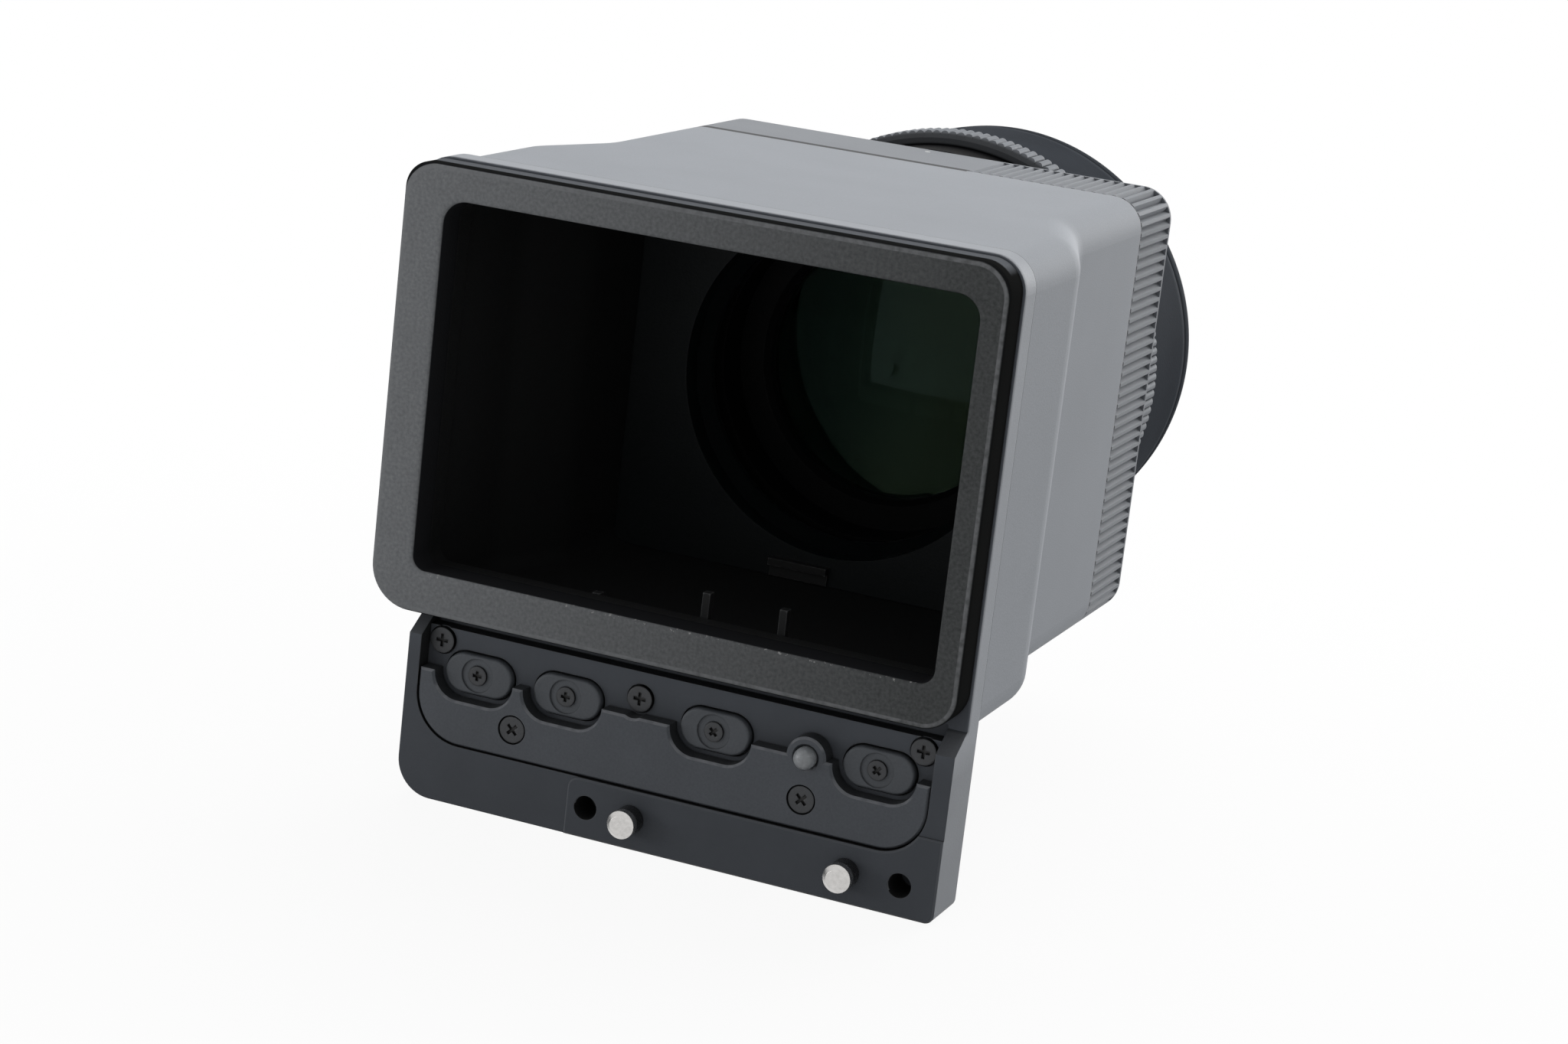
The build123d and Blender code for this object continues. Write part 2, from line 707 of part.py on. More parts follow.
# Housing shell
post_distance = opening_radius + post_edge_gap + post_radius
post_direction = radians(post_angle)
baffle_posts = four_places(post_distance * cos(post_direction), post_distance * sin(post_direction))
case_screw_places = four_places(case_screw_x, case_screw_z)
rib_heights = (short_rib_height, tall_rib_height, tall_rib_height)
with BuildPart() as housing_shell:
    add(housing_block(frame_rear_y, housing_rear_y, 0))
    rim_edges = housing_shell.faces().sort_by(Axis.Y)[-1].edges()
    chamfer(rim_edges, length=seam_bevel)
    add(housing_block(frame_rear_y - overrun, shell_wall_y, wall), mode=Mode.SUBTRACT)
    with BuildSketch(eye_plane(shell_wall_y - overrun)):
        Circle(opening_radius)
    extrude(amount=-(rear_wall + 2 * overrun), mode=Mode.SUBTRACT)
    # Lugs behind the mount plate
    with BuildSketch(facing(frame_rear_y)):
        for x, z in floor_screws:
            with Locations((x, z)):
                Circle(lug_radius)
            with Locations((x, (z + housing_bottom + wall / 2) / 2)):
                Rectangle(2 * lug_radius, housing_bottom + wall / 2 - z)
    extrude(amount=-lug_depth)
    # Bosses of the two upper screws
    with BuildSketch(facing(frame_rear_y)):
        with Locations(*upper_screws):
            Rectangle(upper_boss_width, upper_boss_height)
    extrude(amount=-upper_boss_depth)
    # Thin ribs on the floor behind the frame
    with BuildSketch(facing(frame_rear_y + rib_setback)):
        for share, height in zip(rib_x_shares, rib_heights):
            with Locations((plate_x(share), housing_bottom + wall / 2)):
                Rectangle(rib_width, height + wall / 2, align=(Align.CENTER, Align.MIN))
    extrude(amount=-rib_depth)
    # Posts that carry the baffle
    with BuildSketch(facing(baffle_front_y + baffle_thickness)):
        with Locations(*baffle_posts):
            Circle(post_radius)
    extrude(amount=baffle_front_y + baffle_thickness - shell_wall_y)
    add(bores(
        floor_screws, shank_radius + fit_gap, 0,
        frame_head_y + frame_head_height + frame_screw_reach + fit_gap,
    ), mode=Mode.SUBTRACT)
    add(bores(
        upper_screws, shank_radius + fit_gap, 0,
        upper_head_y + upper_head_height + upper_screw_reach + fit_gap,
    ), mode=Mode.SUBTRACT)
    add(bores(
        case_screw_places, shank_radius + fit_gap, shell_wall_y - overrun, housing_rear_y + overrun,
    ), mode=Mode.SUBTRACT)

# Light baffle: the inner wall with its stepped round mouth
with BuildPart() as light_baffle:
    tube_radius = baffle_mouth_radius + baffle_tube_wall
    tail_radius = baffle_throat_radius + baffle_tube_wall
    side = rear_half_width - wall - baffle_edge_gap
    height = housing_height / 2 - wall - baffle_edge_gap
    corner = housing_corner - wall - baffle_edge_gap
    add(corner_block(
        -side, side, axis_z - height, axis_z + height, [corner] * 4,
        baffle_front_y, baffle_front_y + baffle_thickness,
    ))
    revolve(half_section(
        (baffle_front_y, 0), (baffle_front_y, tube_radius),
        (baffle_rear_y - 2 * baffle_throat_length, tube_radius),
        (baffle_rear_y, tail_radius), (baffle_rear_y, 0),
    ), axis=eye_axis)
    revolve(half_section(
        (baffle_front_y - overrun, 0), (baffle_front_y - overrun, baffle_mouth_radius),
        (baffle_rear_y - 3 * baffle_throat_length, baffle_mouth_radius),
        (baffle_rear_y - baffle_throat_length, baffle_throat_radius),
        (baffle_rear_y + overrun, baffle_throat_radius), (baffle_rear_y + overrun, 0),
    ), axis=eye_axis, mode=Mode.SUBTRACT)

# Clip at the foot of the baffle
clip_bottom_z = housing_bottom + wall + clip_bottom_gap
with BuildPart() as baffle_clip:
    with BuildSketch(Plane.YZ.offset(-clip_offset_x - clip_width / 2)):
        with BuildLine():
            Polyline(
                (baffle_front_y, clip_bottom_z), (baffle_front_y, clip_bottom_z + clip_height),
                (baffle_front_y - clip_depth, clip_bottom_z + clip_height),
                (baffle_front_y - clip_depth, clip_bottom_z + clip_height - 2 * clip_lip),
                (baffle_front_y - clip_lip, clip_bottom_z + clip_height - 2 * clip_lip),
                (baffle_front_y - clip_lip, clip_bottom_z), close=True,
            )
        make_face()
    extrude(amount=clip_width)

# Grip grooves: from the top to the right, down the right side, along the bottom and up the left side
with BuildLine() as grip_line:
    FilletPolyline(
        (grip_start_x, housing_top), (rear_half_width, housing_top),
        (rear_half_width, housing_bottom), (-rear_half_width, housing_bottom),
        (-rear_half_width, housing_top - housing_corner),
        radius=housing_corner,
    )
grip_path = grip_line.wires()[0]
groove_count = int(grip_path.length / grip_pitch)
groove_places = []
for i in range(groove_count):
    share = (i + 1 / 2) / groove_count
    point = grip_path @ share
    tangent = grip_path % share
    groove_places.append(Location((point.X, point.Y, 0), (0, 0, degrees(atan2(tangent.Y, tangent.X)))))

# Rear cover: a short case with cut ribs and a thin flange, open to the front
flange_half_width = rear_half_width - wall - flange_edge_gap
flange_half_height = case_screw_z - case_boss_radius - flange_boss_gap
flange_screws = four_places(
    flange_half_width - flange_screw_inset, flange_half_height - flange_screw_inset,
)
with BuildPart() as rear_cover:
    with BuildSketch(eye_plane(housing_rear_y)):
        RectangleRounded(2 * rear_half_width, housing_height, housing_corner)
    extrude(amount=-cover_length)
    with BuildSketch(facing(housing_rear_y - overrun)):
        with Locations(*groove_places):
            Polygon(
                (-groove_width, groove_depth), (groove_width, groove_depth), (0, -groove_depth),
                align=None,
            )
    extrude(amount=-(cover_length - grip_flange + overrun), mode=Mode.SUBTRACT)
    with BuildSketch(eye_plane(housing_rear_y - overrun)):
        RectangleRounded(2 * (rear_half_width - wall), housing_height - 2 * wall, housing_corner - wall)
    extrude(amount=-(cover_wall_y - housing_rear_y + overrun), mode=Mode.SUBTRACT)
    with BuildSketch(facing(housing_rear_y)):
        with Locations(*case_screw_places):
            Circle(case_boss_radius)
    extrude(amount=-(cover_wall_y - housing_rear_y))
    with BuildSketch(eye_plane(cover_wall_y - overrun)):
        Circle(opening_radius)
    extrude(amount=-(rear_wall + 2 * overrun), mode=Mode.SUBTRACT)
    add(bores(
        case_screw_places, shank_radius + fit_gap, housing_rear_y - overrun,
        shell_wall_y + case_screw_reach + fit_gap,
    ), mode=Mode.SUBTRACT)
    add(bores(
        flange_screws, shank_radius + fit_gap, cover_wall_y - overrun,
        cover_wall_y - flange_thickness + flange_screw_reach + fit_gap,
    ), mode=Mode.SUBTRACT)

# Screws inside: through the shell into the cover, and through the barrel flange into the cover
shell_screws = cross_screws(
    [(x, z, straight_cross) for x, z in case_screw_places],
    shell_wall_y - case_head_height, case_head_radius, case_head_height, case_screw_reach,
)
barrel_screws = cross_screws(
    [(x, z, straight_cross) for x, z in flange_screws],
    cover_wall_y - flange_thickness - case_head_height, case_head_radius, case_head_height,
    flange_screw_reach,
)


def pin_angles():
    """Directions of the cam pins about the optical axis, the first one straight up."""
    return [cam_top_angle + i * 360 / cam_pin_count for i in range(cam_pin_count)]


def radial_plane(angle, radius, y):
    """The plane square to a spoke of the optical axis, its local X running back."""
    spoke = (cos(radians(angle)), sin(radians(angle)))
    return Plane(
        origin=(radius * spoke[0], y, axis_z + radius * spoke[1]),
        x_dir=(0, 1, 0), z_dir=(spoke[0], 0, spoke[1]),
    )


# Lens barrel: a fixed tube with a flange and three straight slots for the cam pins
slot_radius = cam_pin_radius + cam_pin_gap
with BuildPart() as lens_barrel:
    revolve(half_section(
        (barrel_front_y, barrel_bore), (barrel_front_y, barrel_radius),
        (barrel_rear_y, barrel_radius), (barrel_rear_y, barrel_bore),
    ), axis=eye_axis)
    with BuildSketch(eye_plane(cover_wall_y - flange_thickness)):
        RectangleRounded(2 * flange_half_width, 2 * flange_half_height, flange_corner)
        Circle(barrel_bore, mode=Mode.SUBTRACT)
    extrude(amount=-flange_thickness)
    add(bores(
        flange_screws, shank_radius + fit_gap, cover_wall_y - flange_thickness - overrun,
        cover_wall_y + overrun,
    ), mode=Mode.SUBTRACT)
    for angle in pin_angles():
        with BuildSketch(radial_plane(angle, barrel_bore - overrun, cam_pin_y)):
            SlotOverall(2 * (carrier_travel + slot_radius), 2 * slot_radius)
        extrude(amount=barrel_radius - barrel_bore + 2 * overrun, mode=Mode.SUBTRACT)

# Lens carrier: the tube that slides in the barrel, with a shoulder between the two lens groups
cam_pin_root_radius = carrier_bore + cam_pin_root_step
cam_pin_length = barrel_radius + cam_pin_reach - cam_pin_root_radius
carrier_rear_y = carrier_front_y + carrier_length
with BuildPart() as lens_carrier:
    revolve(half_section(
        (carrier_front_y, carrier_bore), (carrier_front_y, carrier_radius),
        (carrier_rear_y, carrier_radius), (carrier_rear_y, carrier_bore),
        (shoulder_y + shoulder_depth, carrier_bore), (shoulder_y + shoulder_depth, shoulder_radius),
        (shoulder_y, shoulder_radius), (shoulder_y, carrier_bore),
    ), axis=eye_axis)
    for angle in pin_angles():
        with BuildSketch(radial_plane(angle, cam_pin_root_radius, cam_pin_y)):
            Circle(cam_pin_radius + fit_gap)
        extrude(amount=carrier_radius, mode=Mode.SUBTRACT)

with BuildPart() as cam_pins:
    for angle in pin_angles():
        with BuildSketch(radial_plane(angle, cam_pin_root_radius, cam_pin_y)):
            Circle(cam_pin_radius)
        extrude(amount=cam_pin_length)


def lens(front_y, edge, front_clear, front_bulge, rear_clear, rear_bulge):
    """A round lens with a flat rim. A bulge is how far its middle stands out, below zero if hollow."""
    rear_y = front_y + edge
    faces = ((front_y, front_clear, -front_bulge), (rear_y, rear_clear, rear_bulge))
    with BuildPart() as glass:
        with BuildSketch(eye_profile):
            with BuildLine():
                Line((front_y - front_bulge, 0), (rear_y + rear_bulge, 0))
                for rim_y, clear, bulge in faces:
                    if bulge:
                        TangentArc((rim_y + bulge, 0), (rim_y, clear), tangent=(0, 1))
                    else:
                        Line((rim_y, 0), (rim_y, clear))
                Polyline(
                    (front_y, front_clear), (front_y, lens_radius),
                    (rear_y, lens_radius), (rear_y, rear_clear),
                )
            make_face()
        revolve(axis=eye_axis)
    return glass


# Lenses and what holds them in the carrier
front_lens_y = front_ring_y + front_bezel_depth
spacer_y = front_lens_y + front_lens_edge
middle_lens_y = spacer_y + spacer_length
rear_lens_y = shoulder_y + shoulder_depth
rear_ring_y = rear_lens_y + rear_lens_edge
front_lens = lens(
    front_lens_y, front_lens_edge, front_bezel_radius - lens_lip, front_lens_bulge,
    lens_clear_radius, front_lens_rear_bulge,
)
middle_lens = lens(
    middle_lens_y, middle_lens_edge, lens_clear_radius, -middle_lens_hollow,
    lens_clear_radius, middle_lens_bulge,
)
rear_lens = lens(
    rear_lens_y, rear_lens_edge, lens_clear_radius, 0,
    lens_clear_radius, rear_lens_bulge,
)
with BuildPart() as lens_spacer:
    revolve(half_section(
        (spacer_y, lens_radius - spacer_wall), (spacer_y, lens_radius),
        (middle_lens_y, lens_radius), (middle_lens_y, lens_radius - spacer_wall),
    ), axis=eye_axis)
with BuildPart() as front_retaining_ring:
    revolve(half_section(
        (front_ring_y, front_bezel_radius + front_bezel_bevel), (front_ring_y, lens_radius),
        (front_lens_y, lens_radius), (front_lens_y, front_bezel_radius),
        (front_ring_y + front_bezel_bevel, front_bezel_radius),
    ), axis=eye_axis)
rear_ring_bore = lens_radius - rear_ring_width
rear_ring_end_y = rear_ring_y + rear_ring_depth
with BuildPart() as rear_retaining_ring:
    revolve(half_section(
        (rear_ring_y, rear_ring_bore), (rear_ring_y, lens_radius),
        (rear_ring_end_y, lens_radius), (rear_ring_end_y, rear_ring_bore),
    ), axis=eye_axis)


def cam_groove(angle):
    """The helical groove for the cam pin that rests at this angle, as a solid to take away."""
    end_angle = degrees((cam_pin_radius + cam_groove_end_gap) / cam_groove_radius)
    sweep_angle = 2 * (ring_turn + end_angle)
    rise_per_turn = 360 * carrier_travel / ring_turn
    rise = rise_per_turn * sweep_angle / 360
    inner = barrel_radius - overrun
    start = radians(angle - sweep_angle / 2)
    seat = Plane(
        origin=(0, cam_pin_y - rise / 2, axis_z),
        x_dir=(cos(start), 0, sin(start)), z_dir=(0, 1, 0),
    )
    with BuildPart() as cutter:
        with BuildLine() as path:
            Helix(
                pitch=rise_per_turn, height=rise, radius=(inner + cam_groove_radius) / 2,
                lefthand=True,
            )
        with BuildSketch(Plane(origin=path.line @ 0, x_dir=(1, 0, 0), z_dir=path.line % 0)):
            Rectangle(cam_groove_radius - inner, 2 * (cam_pin_radius + cam_groove_gap))
        sweep(is_frenet=True)
    return cutter.part.moved(seat.location)


# Diopter ring: a scalloped band on a plain skirt, with three helical grooves inside
lobe_step = 360 / lobe_count


def band_point(radius, steps):
    """A point of the band's outline, so many lobes round from the right."""
    angle = radians(steps * lobe_step)
    return (radius * cos(angle), radius * sin(angle))


with BuildPart() as diopter_ring:
    with BuildSketch(eye_plane(band_front_y)):
        with BuildLine():
            for i in range(lobe_count):
                ThreePointArc(
                    band_point(band_root_radius, i), band_point(band_crest_radius, i + 1 / 2),
                    band_point(band_root_radius, i + 1),
                )
        make_face()
    extrude(amount=band_front_y - band_rear_y)
    revolve(half_section(
        (band_front_y, 0), (band_front_y, band_crest_radius - band_nose_step),
        (band_front_y + band_front_bevel, band_crest_radius + running_gap),
        (band_rear_y - band_rear_bevel, band_crest_radius + running_gap),
        (band_rear_y, band_crest_radius - band_rear_bevel), (band_rear_y, 0),
    ), axis=eye_axis, mode=Mode.INTERSECT)
    revolve(half_section(
        (ring_front_y, 0), (ring_front_y, ring_skirt_radius),
        (ring_rear_y, ring_skirt_radius), (ring_rear_y, 0),
    ), axis=eye_axis)
    revolve(half_section(
        (ring_front_y - overrun, 0), (ring_front_y - overrun, ring_bore),
        (ring_rear_y + overrun, ring_bore), (ring_rear_y + overrun, 0),
    ), axis=eye_axis, mode=Mode.SUBTRACT)
    for angle in pin_angles():
        add(cam_groove(angle), mode=Mode.SUBTRACT)

# Retainer of the ring, mount of the eyecup
with BuildPart() as ring_retainer:
    revolve(half_section(
        (retainer_y, mount_bore), (retainer_y, retainer_radius),
        (mount_y, retainer_radius), (mount_y, mount_bore),
    ), axis=eye_axis)
with BuildPart() as eyecup_mount:
    revolve(half_section(
        (mount_y, mount_bore), (mount_y, mount_radius),
        (mount_y + mount_length, mount_radius), (mount_y + mount_length, mount_bore),
    ), axis=eye_axis)

# Eyecup: a round rubber cup on the mount, its floor round the rear lens
cup_start_y = mount_y + cup_start_gap
cup_bore = mount_radius + fit_gap
cup_inside_radius = cup_rim_radius - cup_rim_wall
with BuildPart() as eyecup:
    with BuildSketch(eye_profile):
        with BuildLine():
            Polyline(
                (cup_start_y, cup_bore), (cup_start_y, cup_collar_radius),
                (cup_line_y - cup_line_depth, cup_line_radius),
                (cup_line_y, cup_line_radius - cup_line_depth),
                (cup_line_y + cup_line_depth, cup_line_radius),
                (cup_rim_y - cup_rim_round, cup_rim_radius),
            )
            ThreePointArc(
                (cup_rim_y - cup_rim_round, cup_rim_radius),
                (cup_rim_y, (cup_rim_radius + cup_inside_radius) / 2),
                (cup_rim_y - cup_rim_round, cup_inside_radius),
            )
            TangentArc(
                (cup_rim_y - cup_rim_round, cup_inside_radius),
                (cup_floor_y + cup_floor_thickness, cup_bowl_radius),
                tangent=(-1, 0),
            )
            Polyline(
                (cup_floor_y + cup_floor_thickness, cup_bowl_radius),
                (cup_floor_y + cup_floor_thickness, lens_clear_radius),
                (cup_floor_y, lens_clear_radius), (cup_floor_y, cup_bore), (cup_start_y, cup_bore),
            )
        make_face()
    revolve(axis=eye_axis)

# Every piece in its own file
pieces = {
    "front_frame": front_frame,
    "face_gasket": face_gasket,
    "housing_shell": housing_shell,
    "rear_cover": rear_cover,
    "cover_plate": cover_plate,
    "pad_screws": pad_screws,
    "frame_screws": frame_screws,
    "upper_frame_screws": upper_frame_screws,
    "cover_screws": cover_screws,
    "lock_plunger": lock_plunger,
    "plunger_spring": plunger_spring,
    "plunger_cap": plunger_cap,
    "guide_pins": guide_pins,
    "pin_collars": pin_collars,
    "light_baffle": light_baffle,
    "baffle_clip": baffle_clip,
    "lens_barrel": lens_barrel,
    "barrel_screws": barrel_screws,
    "shell_screws": shell_screws,
    "lens_carrier": lens_carrier,
    "cam_pins": cam_pins,
    "front_lens": front_lens,
    "middle_lens": middle_lens,
    "rear_lens": rear_lens,
    "lens_spacer": lens_spacer,
    "front_retaining_ring": front_retaining_ring,
    "rear_retaining_ring": rear_retaining_ring,
    "diopter_ring": diopter_ring,
    "ring_retainer": ring_retainer,
    "eyecup_mount": eyecup_mount,
    "eyecup": eyecup,
}
for number, pad in enumerate(hook_pads, start=1):
    pieces[f"hook_pad_{number}"] = pad
for name, piece in pieces.items():
    piece.part.label = name
    export_step(piece.part, f"parts/{name}.step")
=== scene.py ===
import json
import math

import bpy
from mathutils import Matrix, Vector, noise

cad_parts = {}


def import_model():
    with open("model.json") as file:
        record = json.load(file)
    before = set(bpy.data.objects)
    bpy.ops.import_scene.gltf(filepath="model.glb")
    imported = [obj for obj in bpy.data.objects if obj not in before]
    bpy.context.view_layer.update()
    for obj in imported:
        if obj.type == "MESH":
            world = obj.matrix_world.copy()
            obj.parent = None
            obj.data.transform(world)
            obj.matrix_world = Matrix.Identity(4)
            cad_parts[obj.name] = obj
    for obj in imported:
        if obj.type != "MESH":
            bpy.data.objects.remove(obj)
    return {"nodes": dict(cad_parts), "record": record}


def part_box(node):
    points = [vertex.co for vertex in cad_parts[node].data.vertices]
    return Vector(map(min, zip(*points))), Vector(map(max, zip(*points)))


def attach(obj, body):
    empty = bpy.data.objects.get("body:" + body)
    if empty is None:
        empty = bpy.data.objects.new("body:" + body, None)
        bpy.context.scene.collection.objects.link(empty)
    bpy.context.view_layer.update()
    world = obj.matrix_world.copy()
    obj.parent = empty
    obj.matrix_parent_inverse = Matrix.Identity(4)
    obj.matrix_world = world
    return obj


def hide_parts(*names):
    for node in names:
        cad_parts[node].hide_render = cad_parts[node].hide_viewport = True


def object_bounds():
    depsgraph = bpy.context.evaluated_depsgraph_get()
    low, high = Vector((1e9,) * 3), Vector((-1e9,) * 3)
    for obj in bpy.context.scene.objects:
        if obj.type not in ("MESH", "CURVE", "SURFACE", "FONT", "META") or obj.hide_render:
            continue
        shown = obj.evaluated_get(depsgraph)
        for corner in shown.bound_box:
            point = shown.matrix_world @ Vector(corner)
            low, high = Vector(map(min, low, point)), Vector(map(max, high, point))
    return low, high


# The camera's screen is met at Y 0, the eye looks in from high Y, and Z is up.
# The finishes and pieces are in millimetres; the floor, lamps and camera in metres.
MM = 0.001

for leftover in ("Cube", "Light", "Camera"):
    if leftover in bpy.data.objects:
        bpy.data.objects.remove(bpy.data.objects[leftover])

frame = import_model()
cad_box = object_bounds()


def corners(node):
    """The low and high corner of a node, in millimetres."""
    low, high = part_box(node)
    return low / MM, high / MM


frame_low, frame_high = corners("front_frame")
gasket_low, gasket_high = corners("face_gasket")
shell_low, shell_high = corners("housing_shell")
baffle_low, baffle_high = corners("light_baffle")
barrel_low, barrel_high = corners("lens_barrel")
ring_low, ring_high = corners("diopter_ring")
cup_low, cup_high = corners("eyecup")

axis_z = (barrel_low.z + barrel_high.z) / 2
ring_radius = (ring_high.z - ring_low.z) / 2
window_half_width, window_half_height = 35.0, 23.45
plate_left = -34.85
# the smooth strip on top of the rear cover ends here, and the grip grooves begin
smooth_strip_right = 8.8
# from the cup's rim forward to the fine line round it
cup_line_inset = 3.0

HOUSING = (0.383, 0.405, 0.44)
HOUSING_WORN = (0.55, 0.57, 0.6)
# painted shade: the grey paint as it looks on faces that look towards the screen, away from the
# light
PAINTED_FRONT_SHADE = (0.104, 0.115, 0.134)
SEAM_DARK = (0.06, 0.062, 0.066)
INNER_DARK = (0.012, 0.0125, 0.013)
# painted shade, laid in narrow gaps and slots
CREVICE_SHADE = (0.004, 0.004, 0.004)


class Nodes:
    """Short ways to add nodes to a node tree and to link them."""

    def __init__(self, tree):
        self.tree = tree

    def add(self, kind, **settings):
        node = self.tree.nodes.new(kind)
        for key, value in settings.items():
            setattr(node, key, value)
        return node

    def feed(self, socket, source):
        """Links the socket to another socket, or sets it to a colour or a number."""
        if isinstance(source, bpy.types.NodeSocket):
            self.tree.links.new(source, socket)
        elif isinstance(source, tuple):
            socket.default_value = (*source, 1)
        else:
            socket.default_value = source

    def fit(self, value, low, high, to_low=0.0, to_high=1.0, smooth=False):
        """The value with low to high spread over to_low to to_high, and held at the ends."""
        node = self.add("ShaderNodeMapRange", clamp=True)
        if smooth:
            node.interpolation_type = "SMOOTHSTEP"
        for socket, source in zip(node.inputs, (value, low, high, to_low, to_high)):
            self.feed(socket, source)
        return node.outputs["Result"]

    def calc(self, kind, value, *others):
        """A math node over one value, or one after another over several."""
        for other in others or (0.0,):
            node = self.add("ShaderNodeMath", operation=kind)
            self.feed(node.inputs[0], value)
            self.feed(node.inputs[1], other)
            value = node.outputs[0]
        return value

    def parts(self, vector):
        """The X, Y and Z of a vector, to be picked by name."""
        node = self.add("ShaderNodeSeparateXYZ")
        self.feed(node.inputs[0], vector)
        return node.outputs

    def blend(self, share, first, second, kind="MIX"):
        node = self.add("ShaderNodeMix", data_type="RGBA", blend_type=kind)
        # the colour sockets of this node share their names with its other kinds
        for place, source in ((0, share), (6, first), (7, second)):
            self.feed(node.inputs[place], source)
        return node.outputs[2]

    def seen(self):
        """1 for what is seen, straight, mirrored or through glass, and 0 for light thrown back."""
        path = self.add("ShaderNodeLightPath").outputs
        kinds = ("Is Camera Ray", "Is Glossy Ray", "Is Transmission Ray")
        return self.calc("MAXIMUM", *(path[kind] for kind in kinds))


class Finish(Nodes):
    """A node material: a Principled shader fed by noise and by places in millimetres."""

    def __init__(self, name, constants):
        self.material = bpy.data.materials.new(name)
        self.material.use_nodes = True
        super().__init__(self.material.node_tree)
        self.shader = self.tree.nodes["Principled BSDF"]
        for socket, value in constants.items():
            self.shader.inputs[socket].default_value = value
        coordinates = self.add("ShaderNodeTexCoord").outputs
        scaled = self.add("ShaderNodeVectorMath", operation="SCALE")
        scaled.inputs["Scale"].default_value = 1 / MM
        self.feed(scaled.inputs[0], coordinates["Object"])
        self.place = scaled.outputs["Vector"]
        self.at = self.parts(self.place)
        self.facing = self.parts(coordinates["Normal"])

    def noise(self, size, detail=3, span=0.5):
        """Grain of about this size: span of its range, round the middle, becomes 0 to 1."""
        node = self.add("ShaderNodeTexNoise")
        self.feed(node.inputs["Vector"], self.place)
        node.inputs["Scale"].default_value = 1 / size
        node.inputs["Detail"].default_value = detail
        return self.fit(node.outputs[0], 0.5 - span / 2, 0.5 + span / 2)

    def band(self, value, low, high, soft):
        """1 between low and high, falling to 0 over soft on both sides."""
        rise = self.fit(value, low - soft, low, 0, 1, smooth=True)
        drop = self.fit(value, high, high + soft, 1, 0, smooth=True)
        return self.calc("MULTIPLY", rise, drop)

    def inside(self, low, high, soft=0.05):
        """1 inside a box given by its low and high corners."""
        shares = [self.band(self.at[name], start, end, soft)
                  for name, start, end in zip("XYZ", low, high)]
        return self.calc("MULTIPLY", *shares)

    def rounded(self, radius):
        """The normal, with the edges of the solid rounded by this radius."""
        node = self.add("ShaderNodeBevel", samples=4)
        node.inputs["Radius"].default_value = radius * MM
        return node.outputs["Normal"]

    def edges(self, reach):
        """1 on outer edges and corners, 0 on open faces."""
        node = self.add("ShaderNodeAmbientOcclusion", samples=4, inside=True, only_local=True)
        node.inputs["Distance"].default_value = reach * MM
        return self.fit(node.outputs["AO"], 0.25, 0.75, 1, 0)

    def hollows(self, reach):
        """1 deep in narrow gaps and slots, 0 on open faces."""
        node = self.add("ShaderNodeAmbientOcclusion", samples=4)
        node.inputs["Distance"].default_value = reach * MM
        return self.fit(node.outputs["AO"], 0.3, 0.7, 1, 0)

    def inward(self):
        """1 where the surface looks towards the optical axis, 0 where it looks away from it."""
        height = self.calc("SUBTRACT", self.at["Z"], axis_z)
        across = self.calc("MULTIPLY", self.facing["X"], self.at["X"])
        up = self.calc("MULTIPLY", self.facing["Z"], height)
        return self.fit(self.calc("ADD", across, up), -2, -1, 1, 0)

    def radius(self):
        """Distance from the optical axis."""
        height = self.calc("SUBTRACT", self.at["Z"], axis_z)
        squares = [self.calc("MULTIPLY", side, side) for side in (self.at["X"], height)]
        return self.calc("SQRT", self.calc("ADD", *squares))

    def from_edge(self, low, high, corner):
        """Distance from a rounded rectangle in X and Z: below 0 inside it, above 0 outside."""
        reach = []
        for name, start, end in (("X", low.x, high.x), ("Z", low.z, high.z)):
            offset = self.calc("SUBTRACT", self.at[name], (start + end) / 2)
            straight = (end - start) / 2 - corner
            reach.append(self.calc("SUBTRACT", self.calc("ABSOLUTE", offset), straight))
        squares = [self.calc("POWER", self.calc("MAXIMUM", side, 0.0), 2.0) for side in reach]
        outside = self.calc("SQRT", self.calc("ADD", *squares))
        within = self.calc("MINIMUM", self.calc("MAXIMUM", *reach), 0.0)
        return self.calc("SUBTRACT", self.calc("ADD", outside, within), corner)

    def relief(self, height, depth, normal=None):
        """The normal of a surface with this relief, laid over another normal if one is given."""
        node = self.add("ShaderNodeBump")
        node.inputs["Strength"].default_value = 1.0
        node.inputs["Distance"].default_value = depth * MM
        self.feed(node.inputs["Height"], height)
        if normal is not None:
            self.feed(node.inputs["Normal"], normal)
        return node.outputs["Normal"]

    def set(self, **sources):
        """Feeds the shader's colour, roughness and normal, and gives the material."""
        names = {"colour": "Base Color", "roughness": "Roughness", "normal": "Normal"}
        for key, source in sources.items():
            self.feed(self.shader.inputs[names[key]], source)
        return self.material


def shade(colour, share):
    return tuple(channel * share for channel in colour)


